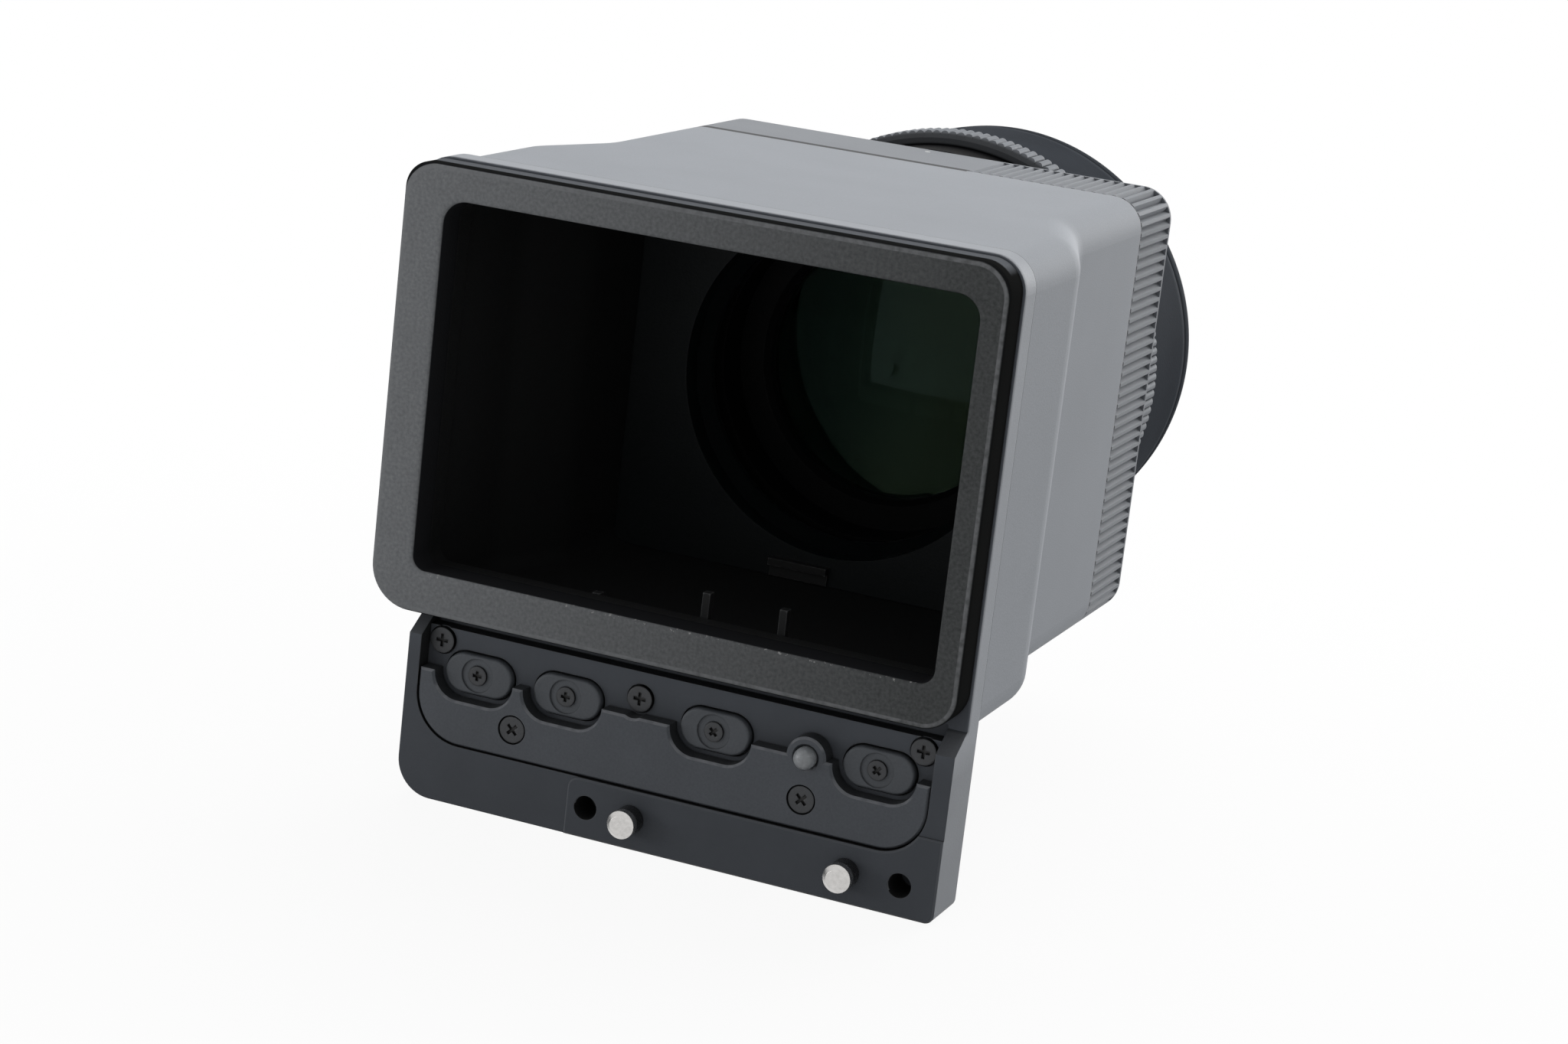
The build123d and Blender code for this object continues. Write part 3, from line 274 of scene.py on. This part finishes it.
def grained(name, colour, specular, patch, grain, depth, rough, edge, wear=None, crevice=0.0,
            metallic=0.0):
    """A moulded, painted or anodised surface: slow patches, fine grain and worn outer edges.

    patch and grain are (size, share of the colour), rough is the range of the roughness, wear
    is (share, colour), depth is the height of the grain, edge the radius of the edges, and
    crevice the share of painted shade by which narrow gaps go black.
    """
    finish = Finish(name, {"Specular IOR Level": specular, "Metallic": metallic})
    patches = finish.noise(patch[0], 4)
    speckle = finish.noise(grain[0], 2)
    tone = finish.blend(patches, shade(colour, 1 - patch[1]), shade(colour, 1 + patch[1]))
    dots = finish.blend(speckle, (1 - grain[1],) * 3, (1 + grain[1],) * 3)
    tone = finish.blend(1.0, tone, dots, "MULTIPLY")
    if wear:
        broken = finish.fit(finish.noise(1.3, 5, 0.35), 0.3, 0.8, 0.25, 1)
        worn = finish.calc("MULTIPLY", finish.edges(0.22), broken, wear[0])
        tone = finish.blend(worn, tone, wear[1])
    # painted shade: narrow gaps and slots darkened towards black
    if crevice:
        deep = finish.calc("MULTIPLY", finish.hollows(0.6), crevice)
        tone = finish.blend(deep, tone, CREVICE_SHADE)
    finish.set(
        colour=tone,
        roughness=finish.fit(speckle, 0, 1, *rough),
        normal=finish.relief(speckle, depth, finish.rounded(edge)),
    )
    return finish, tone


def paint(*arguments, **settings):
    return grained(*arguments, **settings)[0].material


def rear_seam(finish):
    """The dark line where shell and rear cover meet, widest along the smooth strip on top."""
    seam, top = shell_high.y, shell_high.z
    line = finish.calc("MULTIPLY", finish.band(finish.at["Y"], seam - 0.2, seam + 0.15, 0.15), 0.85)
    strip = finish.inside((shell_low.x, seam - 0.8, top - 1.05),
                          (smooth_strip_right, seam + 0.7, top + 0.95), 0.2)
    return finish.calc("MAXIMUM", line, strip)


def housing_paint():
    """Grey outside, dark in the seams at both ends, and near black inside the hood, with pale edges
    there that are partly wear and partly a painted highlight.
    """
    finish, tone = grained("housing_grey", HOUSING, 0.25, patch=(14, 0.03), grain=(0.2, 0.06),
                           depth=0.012, rough=(0.62, 0.72), edge=0.18,
                           wear=(0.25, HOUSING_WORN))
    front_seam = finish.fit(finish.at["Y"], shell_low.y, shell_low.y + 0.2, 0.6, 0)
    seams = finish.calc("MAXIMUM", front_seam, rear_seam(finish))
    tone = finish.blend(seams, tone, SEAM_DARK)
    hollow = finish.inside((baffle_low.x + 0.4, shell_low.y + 0.1, baffle_low.z),
                           (baffle_high.x - 0.4, baffle_high.y - 0.5, baffle_high.z + 0.05))
    hood = finish.calc("MAXIMUM", finish.inward(), hollow)
    # pale edges in the hood: partly wear, partly a painted highlight
    rubbed_and_lit = finish.blend(finish.edges(0.3), INNER_DARK, (0.16, 0.163, 0.168))
    return finish.set(colour=finish.blend(hood, tone, rubbed_and_lit))


def cover_paint():
    """Darker grey than the shell, with the dark line of the seam between them."""
    finish, tone = grained("cover_grey", shade(HOUSING, 0.72), 0.25, patch=(10, 0.04),
                           grain=(0.2, 0.07), depth=0.012, rough=(0.6, 0.7), edge=0.06,
                           wear=(0.2, (0.45, 0.47, 0.49)), crevice=0.25)
    return finish.set(colour=finish.blend(rear_seam(finish), tone, SEAM_DARK))


def frame_paint():
    """Grey on its outer sides; dark towards the screen, in the window and low on the plate, all as
    painted shade on the one grey paint.
    """
    finish, tone = grained("dark_metal", HOUSING, 0.25, patch=(12, 0.04), grain=(0.2, 0.06),
                           depth=0.012, rough=(0.5, 0.62), edge=0.2, wear=(0.25, HOUSING_WORN))
    # pale edges towards the screen: partly wear, partly a painted highlight
    broken = finish.fit(finish.noise(1.1, 4), 0.3, 0.8, 0.2, 0.8)
    edge_wear_and_highlight = finish.calc("MULTIPLY", finish.edges(0.25), broken)
    # the faces towards the screen and just behind the gasket: the same grey paint with a painted
    # shade
    patches = finish.blend(finish.noise(7, 4), shade(PAINTED_FRONT_SHADE, 0.92), shade(PAINTED_FRONT_SHADE, 1.08))
    front = finish.blend(edge_wear_and_highlight, patches, (0.3, 0.305, 0.31))
    front_shade = finish.fit(finish.facing["Y"], -0.85, -0.35, 1, 0, smooth=True)
    shade_by_gasket = finish.calc(
        "MULTIPLY",
        finish.fit(finish.at["Y"], gasket_high.y + 0.1, gasket_high.y + 1, 1, 0),
        finish.fit(finish.at["Z"], gasket_low.z - 1, gasket_low.z - 0.5),
    )
    tone = finish.blend(finish.calc("MAXIMUM", front_shade, shade_by_gasket), tone, front)
    # painted shade: the plate's sunk faces and the window go near black, and the plate darker
    # towards the bottom
    plate = finish.inside(
        (plate_left + 0.25, frame_low.y + 0.45, frame_low.z + 0.2),
        (frame_high.x - 0.2, frame_high.y + 0.6, gasket_low.z - 0.6), 0.1,
    )
    hidden_shade = finish.calc("MAXIMUM", finish.inward(), plate)
    sunk_shade = finish.calc("MULTIPLY", hidden_shade, finish.calc("SUBTRACT", 1.0, front_shade))
    tone = finish.blend(sunk_shade, tone, INNER_DARK)
    below = finish.fit(finish.at["Z"], -35, -31, 0.26, 0)
    tone = finish.blend(below, tone, INNER_DARK)
    # painted shade deep in gaps and slots
    deep = finish.calc("MULTIPLY", finish.hollows(0.5), 0.9)
    return finish.set(colour=finish.blend(deep, tone, CREVICE_SHADE))


def plate_paint():
    """Dark paint; painted shade makes the faces that do not look to the screen black, and a painted
    highlight makes the bevels that look up pale, broken up like wear.
    """
    finish, tone = grained("plate_black", (0.106, 0.116, 0.132), 0.3, patch=(10, 0.08),
                           grain=(0.25, 0.1), depth=0.014, rough=(0.45, 0.58), edge=0.1,
                           wear=(0.4, (0.27, 0.28, 0.3)), crevice=0.9)
    # painted shade on the faces that do not look towards the screen
    wall_shade = finish.fit(finish.facing["Y"], -0.3, -0.15, 0, 0.85)
    tone = finish.blend(wall_shade, tone, (0.014, 0.0145, 0.015))
    # painted highlight on the bevels that look up and forward, broken up like wear
    ledge_highlight = finish.calc("MULTIPLY", finish.band(finish.facing["Z"], 0.45, 0.9, 0.15),
                        finish.band(finish.facing["Y"], -0.9, -0.45, 0.15))
    broken = finish.fit(finish.noise(1.2, 4, 0.4), 0.2, 0.7, 0.45, 0.9)
    rubbed_and_lit = finish.calc("MULTIPLY", ledge_highlight, broken)
    return finish.set(colour=finish.blend(rubbed_and_lit, tone, (0.24, 0.25, 0.27)))


def pad_paint():
    return paint("pad_black", (0.112, 0.122, 0.136), 0.3, patch=(6, 0.08), grain=(0.3, 0.08),
                 depth=0.012, rough=(0.4, 0.54), edge=0.2, wear=(0.35, (0.22, 0.225, 0.23)),
                 crevice=0.9)


def screw_paint(node=None):
    """Black screws; where the node is given, all behind the front of its heads is darkest, as
    painted shade.
    """
    finish, tone = grained("screw_black", (0.055, 0.058, 0.063), 0.4, patch=(2, 0.12),
                           grain=(0.15, 0.12), depth=0.01, rough=(0.34, 0.46), edge=0.3,
                           wear=(0.3, (0.14, 0.145, 0.15)), crevice=0.85, metallic=0.1)
    if node:
        head_y = corners(node)[0].y
        # painted shade behind the front of the heads
        deep = finish.fit(finish.at["Y"], head_y + 0.03, head_y + 0.12)
        tone = finish.blend(deep, tone, (0.003, 0.003, 0.003))
    return finish.set(colour=tone)


def collar_paint():
    return paint("collar_black", (0.016, 0.0165, 0.0175), 0.5, patch=(3, 0.1),
                 grain=(0.3, 0.1), depth=0.006, rough=(0.2, 0.3), edge=0.15)


def inner_paint():
    return paint("inner_black", (0.009, 0.0115, 0.0125), 0.2, patch=(6, 0.15),
                 grain=(0.3, 0.15), depth=0.01, rough=(0.4, 0.5), edge=0.1,
                 wear=(0.25, (0.03, 0.03, 0.03)))


def clip_paint():
    """Black, with bright edges that are a painted highlight."""
    return paint("clip_black", (0.02, 0.0205, 0.021), 0.3, patch=(3, 0.1), grain=(0.2, 0.1),
                 depth=0.008, rough=(0.4, 0.5), edge=0.15, wear=(0.9, (0.35, 0.355, 0.36)))


def barrel_paint():
    return paint("barrel_black", (0.011, 0.0115, 0.012), 0.06, patch=(5, 0.1),
                 grain=(0.2, 0.1), depth=0.008, rough=(0.36, 0.46), edge=0.15)


def cup_paint():
    """Matte rubber, a little paler in the fine line and round the rim, the rim partly worn and
    partly a painted highlight.
    """
    finish, tone = grained("cup_rubber", (0.037, 0.043, 0.053), 0.015, patch=(9, 0.12),
                           grain=(0.35, 0.08), depth=0.01, rough=(0.62, 0.74), edge=0.15)
    # paler round the rim: partly wear, partly a painted highlight
    rubbed_and_lit = finish.band(finish.at["Y"], cup_high.y - 0.6, cup_high.y + 0.5, 0.5)
    tone = finish.blend(finish.calc("MULTIPLY", rubbed_and_lit, 0.5), tone, (0.08, 0.083, 0.088))
    line_y = cup_high.y - cup_line_inset
    line = finish.band(finish.at["Y"], line_y - 0.15, line_y + 0.15, 0.15)
    tone = finish.blend(finish.calc("MULTIPLY", line, 0.6), tone, (0.1, 0.103, 0.108))
    return finish.set(colour=tone)


def ring_paint():
    """Pale crests of the lobes as a painted highlight; dark between them, on the end faces and
    skirt as painted shade.
    """
    # the base colour is the pale crests of the lobes: a painted highlight
    finish, tone = grained("ring_black", (0.31, 0.328, 0.355), 0.02, patch=(5, 0.06),
                           grain=(0.18, 0.08), depth=0.01, rough=(0.4, 0.52), edge=0.08)
    radius = finish.radius()
    # painted shade between the lobes
    between = finish.fit(radius, ring_radius - 0.5, ring_radius - 0.2, 1, 0)
    tone = finish.blend(between, tone, (0.035, 0.037, 0.04))
    # painted shade on the end faces
    along = finish.calc("ABSOLUTE", finish.facing["Y"])
    tone = finish.blend(finish.fit(along, 0.8, 0.95), tone, (0.1, 0.105, 0.113))
    # painted highlight on the front bevel
    bevel = finish.calc("MULTIPLY", finish.band(along, 0.4, 0.8, 0.05),
                        finish.fit(radius, ring_radius - 1.95, ring_radius - 1.7))
    tone = finish.blend(bevel, tone, (0.3, 0.312, 0.33))
    # painted shade on the skirt
    skirt = finish.fit(radius, ring_radius - 1.9, ring_radius - 1.6, 1, 0)
    return finish.set(colour=finish.blend(skirt, tone, (0.003, 0.0031, 0.0034)))


def gasket_rubber():
    """Matte rubber: a mottled face paler to the left as a painted sheen, a pale band near the outer
    edge as a painted highlight, a black outermost line as painted shade, and black sides.
    """
    finish = Finish("gasket_rubber", {"Specular IOR Level": 0.0})
    mottle = finish.noise(0.45, 3, 0.4)
    # the face is paler to the left: a painted sheen
    dark = finish.blend(mottle, (0.085, 0.09, 0.091), (0.145, 0.152, 0.154))
    pale = finish.blend(mottle, (0.27, 0.282, 0.296), (0.373, 0.386, 0.402))
    tone = finish.blend(finish.fit(finish.at["X"], -40, 34, 1, 0), dark, pale)
    patches = finish.fit(finish.noise(5, 4), 0, 1, 0, 0.2)
    tone = finish.blend(patches, tone, (0.2, 0.207, 0.214))

    below_window = finish.inside((1 - window_half_width, -1, -window_half_height - 0.45),
                                 (window_half_width - 1, 0.3, -window_half_height - 0.05), 0.08)
    nicks = finish.fit(finish.noise(0.5, 2), 0.76, 0.86)
    tone = finish.blend(finish.calc("MULTIPLY", below_window, nicks), tone, (0.5, 0.5, 0.5))

    # a pale broken band inside the outer edge is a painted highlight, and the black outermost line
    # a painted shade
    edge = finish.from_edge(gasket_low, gasket_high, 4.4)
    broken = finish.fit(finish.noise(1.0, 4, 0.5), 0.1, 0.7, 0.2, 0.8)
    edge_highlight = finish.calc("MULTIPLY", finish.band(edge, -0.65, -0.3, 0.12), broken)
    tone = finish.blend(edge_highlight, tone, (0.33, 0.34, 0.355))
    tone = finish.blend(finish.fit(edge, -0.2, -0.12), tone, (0.022, 0.023, 0.025))

    side = finish.blend(finish.inward(), (0.017, 0.0175, 0.0175), (0.03, 0.031, 0.034))
    rear_of_top = finish.calc(
        "MULTIPLY",
        finish.fit(finish.facing["Z"], 0.6, 0.85),
        finish.fit(finish.at["Y"], 1.7, 2.1),
        finish.fit(finish.at["Z"], 26, 26.5),
    )
    side = finish.blend(rear_of_top, side, (0.17, 0.18, 0.197))
    sideways = finish.fit(finish.facing["Y"], -0.75, -0.3, 0, 1, smooth=True)
    return finish.set(
        colour=finish.blend(sideways, tone, side),
        roughness=finish.fit(mottle, 0, 1, 0.7, 0.84),
        normal=finish.relief(finish.noise(0.3, 2, 0.7), 0.03),
    )


def plunger_plastic():
    """Grey plastic that lets a little light in."""
    finish = Finish("plunger_grey", {"Specular IOR Level": 0.5, "Subsurface Weight": 0.25,
                                     "Subsurface Scale": 0.4 * MM,
                                     "Subsurface Radius": (1, 1, 1)})
    patches = finish.noise(0.7, 3)
    return finish.set(
        colour=finish.blend(patches, (0.345, 0.363, 0.383), (0.48, 0.505, 0.53)),
        roughness=finish.fit(patches, 0, 1, 0.2, 0.32),
        normal=finish.relief(finish.noise(0.2, 2), 0.004, finish.rounded(0.15)),
    )


def nickel():
    """Polished nickel with fine turned lines and scuffs."""
    finish = Finish("bright_nickel", {"Metallic": 1.0})
    scuffs = finish.noise(0.5, 5, 0.4)
    lines = finish.noise(0.06, 2, 0.6)
    return finish.set(
        colour=finish.blend(scuffs, (0.51, 0.5, 0.487), (0.62, 0.608, 0.595)),
        roughness=finish.fit(scuffs, 0, 1, 0.16, 0.3),
        normal=finish.relief(lines, 0.002, finish.rounded(0.1)),
    )


def steel():
    finish = Finish("spring_steel", {"Metallic": 1.0})
    drawn = finish.noise(0.1, 3)
    return finish.set(
        colour=finish.blend(drawn, (0.42, 0.42, 0.43), (0.62, 0.62, 0.63)),
        roughness=finish.fit(drawn, 0, 1, 0.25, 0.4),
        normal=finish.relief(drawn, 0.002),
    )


def lens_glass():
    """Coated glass, tinted green to amber in slow clouds as a painted reflection, and darker to the
    left as painted shade.
    """
    finish = Finish("coated_glass", {"Transmission Weight": 1.0, "IOR": 1.5, "Roughness": 0.0,
                                     "Specular Tint": (0.08, 0.13, 0.117, 1)})
    # the green to amber clouds are a painted reflection, and the darker left a painted shade
    tint = finish.blend(finish.noise(30, 1, 0.6), (0.142, 0.19, 0.178), (0.188, 0.197, 0.15))
    left = finish.fit(finish.at["X"], -15, -1, 1, 0, smooth=True)
    return finish.set(
        colour=finish.blend(left, tint, (0.11, 0.138, 0.128)),
        normal=finish.relief(finish.noise(6, 1), 0.0005),
    )


def dot_white():
    finish = Finish("dot_white", {"Specular IOR Level": 0.3})
    patches = finish.noise(0.2, 3)
    return finish.set(
        colour=finish.blend(patches, (0.72, 0.73, 0.74), (0.85, 0.86, 0.86)),
        roughness=finish.fit(patches, 0, 1, 0.45, 0.6),
    )


slot_materials = {
    "housing_grey": housing_paint(), "dark_metal": frame_paint(), "plate_black": plate_paint(),
    "pad_black": pad_paint(), "screw_black": screw_paint(), "bright_nickel": nickel(),
    "spring_steel": steel(), "inner_black": inner_paint(), "barrel_black": barrel_paint(),
    "ring_black": ring_paint(), "coated_glass": lens_glass(),
    "plunger_grey": plunger_plastic(), "cup_rubber": cup_paint(),
    "gasket_rubber": gasket_rubber(),
}
node_materials = {
    "pin_collars": collar_paint(), "rear_cover": cover_paint(), "baffle_clip": clip_paint(),
}
for node in ("frame_screws", "cover_screws", "pad_screws"):
    node_materials[node] = screw_paint(node)

for part in frame["record"]["subparts"]:
    shown = frame["nodes"][part["node"]]
    chosen = node_materials.get(part["node"], slot_materials[part["material_slot"]])
    for entry in shown.material_slots:
        entry.material = chosen


def add_mesh(name, points, faces, material):
    """A mesh object in the scene, from points in metres."""
    mesh = bpy.data.meshes.new(name)
    mesh.from_pydata(points, [], faces)
    mesh.validate()
    mesh.materials.append(material)
    shown = bpy.data.objects.new(name, mesh)
    bpy.context.scene.collection.objects.link(shown)
    return shown


def add_piece(name, points, faces, sharp, material):
    """A smooth piece of the housing, from points in millimetres; sharp holds its hard edges."""
    scaled = [[side * MM for side in point] for point in points]
    piece = add_mesh(name, scaled, faces, material)
    mesh = piece.data
    mesh.polygons.foreach_set("use_smooth", [True] * len(mesh.polygons))
    for edge in mesh.edges:
        if tuple(sorted(edge.vertices)) in sharp:
            edge.use_edge_sharp = True
    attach(piece, "housing")
    return piece


def loop_faces(rings, count, closed):
    """Quads between neighbouring rings of count points; closed joins the last to the first."""
    faces = []
    for ring in range(rings if closed else rings - 1):
        here = ring * count
        there = (ring + 1) % rings * count
        for i in range(count):
            j = (i + 1) % count
            faces.append((here + i, here + j, there + j, there + i))
    return faces


def ring_edges(ring, count):
    """The edges round one ring, as sorted pairs of points."""
    pairs = ((ring * count + i, ring * count + (i + 1) % count) for i in range(count))
    return {tuple(sorted(pair)) for pair in pairs}


def outline(left, right, low, high, radii):
    """Points round a rounded rectangle, from the low right corner through the high ones."""
    corner_steps = 12
    side_steps = 60
    bends = [(right, low, -90, 1, -1), (right, high, 0, 1, 1),
             (left, high, 90, -1, 1), (left, low, 180, -1, -1)]
    arcs = []
    for (x, z, start, out_x, out_z), radius in zip(bends, radii):
        turns = [math.radians(start + 90 * i / corner_steps) for i in range(corner_steps + 1)]
        arcs.append([Vector((x - out_x * radius + radius * math.cos(turn), 0,
                             z - out_z * radius + radius * math.sin(turn))) for turn in turns])
    points = []
    for arc, following in zip(arcs, arcs[1:] + arcs[:1]):
        points += arc
        points += [arc[-1].lerp(following[0], i / side_steps) for i in range(1, side_steps)]
    return points


def gasket():
    """A soft rubber ring between its outer outline and the screen window, a little wavy."""
    outer_radii = (4.5, 4.0, 3.5, 5.5)
    window_radii = (1.8, 3.0, 3.0, 1.8)
    roll, roll_steps = 0.5, 5
    bevel = 0.35
    face_steps = 10
    wave_height = 0.02
    low, high = gasket_low, gasket_high

    def outer(inset):
        return outline(low.x + inset, high.x - inset, low.z + inset, high.z - inset,
                       [radius - inset for radius in outer_radii])

    def window(grow):
        half_width, half_height = window_half_width + grow, window_half_height + grow
        return outline(-half_width, half_width, -half_height, half_height,
                       [radius + grow for radius in window_radii])

    rings = [(outer(0), high.y), (outer(0), high.y / 2)]
    for i in range(roll_steps + 1):
        turn = math.radians(90 * i / roll_steps)
        rings.append((outer(roll * (1 - math.cos(turn))), roll * (1 - math.sin(turn))))
    start, end = outer(roll), window(bevel)
    for i in range(1, face_steps):
        rings.append(([a.lerp(b, i / face_steps) for a, b in zip(start, end)], None))
    rings += [(window(bevel), 0.0), (window(bevel * 0.3), bevel * 0.3),
              (window(0), bevel), (window(0), high.y)]

    points = []
    for ring, depth in rings:
        for point in ring:
            if depth is None:
                wave = noise.noise(point / 5) + 0.5 * noise.noise(point / 1.6)
                points.append((point.x, wave_height * wave, point.z))
            else:
                points.append((point.x, depth, point.z))
    count = len(rings[0][0])
    sharp = ring_edges(0, count) | ring_edges(len(rings) - 1, count)
    piece = add_piece("gasket", points, loop_faces(len(rings), count, True), sharp,
                      slot_materials["gasket_rubber"])
    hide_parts("face_gasket")


def eyecup():
    """A turned rubber cup: a swelling wall with a fine line round it, a rolled rim, a bowl."""
    front, rim_y = cup_low.y, cup_high.y
    centre = (cup_low + cup_high) / 2
    rim = (cup_high.z - cup_low.z) / 2
    bore, neck = 28.85, rim - 0.5
    opening, bowl = 20.5, 23.5
    floor_front, floor_back = rim_y - 11.4, rim_y - 9.9
    bevel, mouth_bevel, mouth_flare = 0.15, 0.2, 0.3
    line_y, line_half, line_depth = rim_y - cup_line_inset, 0.3, 0.25
    lip_half, lip_drop = 0.22, 0.04
    wall_steps, roll_steps, bowl_steps = 14, 8, 10
    swell_power = 1.6
    roll, roll_inset = 0.7, 0.1

    # each ring of the turned profile: its Y, its radius, and whether it is a hard edge
    profile = [(front, bore, True), (front, neck - bevel, False), (front + bevel, neck, False)]
    for i in range(1, wall_steps + 1):
        share = i / wall_steps
        profile.append((front + bevel + (line_y - line_half - front - bevel) * share,
                        neck + (rim - neck) * share ** swell_power, False))
    profile += [
        (line_y - lip_half, rim - lip_drop, False), (line_y, rim - line_depth, True),
        (line_y + lip_half, rim - lip_drop, False), (line_y + line_half, rim, False),
    ]
    outer_edge = rim - roll_inset
    roll_y = rim_y - roll
    for i in range(roll_steps + 1):
        turn = math.radians(180 * i / roll_steps)
        profile.append((roll_y + roll * math.sin(turn),
                        outer_edge - roll + roll * math.cos(turn), False))
    inner_edge = outer_edge - 2 * roll
    for i in range(1, bowl_steps + 1):
        share = i / bowl_steps
        bend = 1 - math.sqrt(1 - math.sin(share * math.pi / 2) * share)
        profile.append((roll_y + (floor_back - roll_y) * share,
                        inner_edge + (bowl - inner_edge) * (0.6 * share + 0.4 * bend), False))
    profile += [
        (floor_back, opening + mouth_flare, False), (floor_back - mouth_bevel, opening, False),
        (floor_front, opening, True), (floor_front, bore, True),
    ]

    count = 240
    points = []
    sharp = set()
    for ring, (y, radius, hard) in enumerate(profile):
        for i in range(count):
            turn = 2 * math.pi * i / count
            points.append((centre.x + radius * math.sin(turn), y,
                           centre.z + radius * math.cos(turn)))
        if hard:
            sharp |= ring_edges(ring, count)
    piece = add_piece("eyecup_rubber", points, loop_faces(len(profile), count, True), sharp,
                      slot_materials["cup_rubber"])
    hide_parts("eyecup")


def index_dot():
    """A drop of white paint on the smooth strip of the rear cover."""
    centre = Vector((-1.2, 77.7, corners("rear_cover")[1].z))
    radius = 0.38
    count = 32
    # share of the radius, and height above the strip
    rises = [(1.0, -0.02), (1.0, 0.01), (0.85, 0.022), (0.5, 0.03), (0.15, 0.032)]
    points = []
    for share, rise in rises:
        for i in range(count):
            turn = 2 * math.pi * i / count
            points.append((centre.x + radius * share * math.cos(turn),
                           centre.y + radius * share * math.sin(turn), centre.z + rise))
    faces = loop_faces(len(rises), count, False)
    faces.append(tuple((len(rises) - 1) * count + i for i in range(count)))
    faces.append(tuple(reversed(range(count))))
    add_piece("index_dot", points, faces, set(), dot_white())


def floor():
    """Nearly white to the eye, and a mid grey to the light that it throws back."""
    size, steps = 6.0, 24
    height = cad_box[0].z - 0.02 * MM
    places = [size * (i / steps - 0.5) for i in range(steps + 1)]
    points = [(x, y, height) for x in places for y in places]
    firsts = [i * (steps + 1) + j for i in range(steps) for j in range(steps)]
    faces = [(first, first + steps + 1, first + steps + 2, first + 1) for first in firsts]

    material = bpy.data.materials.new("floor_white")
    material.use_nodes = True
    shading = Nodes(material.node_tree)
    shading.tree.nodes.clear()
    seen = shading.seen()
    matte = shading.add("ShaderNodeBsdfDiffuse")
    tone = shading.blend(seen, (0.42, 0.42, 0.42), (0.95, 0.95, 0.95))
    shading.feed(matte.inputs["Color"], tone)
    glow = shading.add("ShaderNodeEmission")
    # the shadow shows near the object and fades into plain white round it
    reach = shading.add("ShaderNodeVectorMath", operation="LENGTH")
    shading.feed(reach.inputs[0], shading.add("ShaderNodeTexCoord").outputs["Object"])
    spread = shading.fit(reach.outputs["Value"], 0.05, 0.25, 0.93, 1.0, smooth=True)
    both = shading.add("ShaderNodeMixShader")
    out = shading.add("ShaderNodeOutputMaterial")
    shading.feed(both.inputs[0], shading.calc("MULTIPLY", spread, seen))
    shading.feed(both.inputs[1], matte.outputs[0])
    shading.feed(both.inputs[2], glow.outputs[0])
    shading.feed(out.inputs["Surface"], both.outputs[0])
    add_mesh("floor", points, faces, material)


def world():
    """An even dim light on the object, white where it is seen or mirrored."""
    studio = bpy.data.worlds.new("studio")
    studio.use_nodes = True
    shading = Nodes(studio.node_tree)
    tone = shading.blend(shading.seen(), (0.29, 0.29, 0.29), (1, 1, 1))
    shading.feed(shading.tree.nodes["Background"].inputs["Color"], tone)
    bpy.context.scene.world = studio


def panel(name, place, size, power):
    """A soft square lamp of a power in watts, which faces the middle of the object."""
    lamp = bpy.data.lights.new(name, "AREA")
    lamp.shape = "SQUARE"
    lamp.size = size
    lamp.energy = power
    stand = bpy.data.objects.new(name, lamp)
    middle = (cad_box[0] + cad_box[1]) / 2
    stand.location = place
    stand.rotation_euler = (middle - Vector(place)).to_track_quat("-Z", "Y").to_euler()
    stand.visible_transmission = False
    bpy.context.scene.collection.objects.link(stand)


def camera():
    """The photograph's viewing point, direction and focal length."""
    place = (0.1597, -0.3789, 0.0927)
    heading, pitch, roll = (math.radians(angle) for angle in (21.0413, -13.8695, 6.6933))
    data = bpy.data.cameras.new("camera")
    data.sensor_fit = "HORIZONTAL"
    data.sensor_width = 36
    data.lens = 80.479
    data.clip_start = 0.01
    data.clip_end = 20
    eye = bpy.data.objects.new("camera", data)
    level = math.radians(90)
    turn = (Matrix.Rotation(heading, 4, "Z") @ Matrix.Rotation(level + pitch, 4, "X")
            @ Matrix.Rotation(roll, 4, "Z"))
    eye.matrix_world = Matrix.Translation(place) @ turn
    bpy.context.scene.collection.objects.link(eye)
    bpy.context.scene.camera = eye


gasket()
eyecup()
index_dot()
floor()
world()
panel("key", (-0.16, 0.94, 1.33), 1.3, 14.7)
panel("rim", (0.525, 1.45, 0.14), 0.9, 14.8)
panel("fill", (-0.34, -0.22, 0.0), 0.2, 0.3)
camera()
bpy.context.scene.view_settings.view_transform = "Standard"
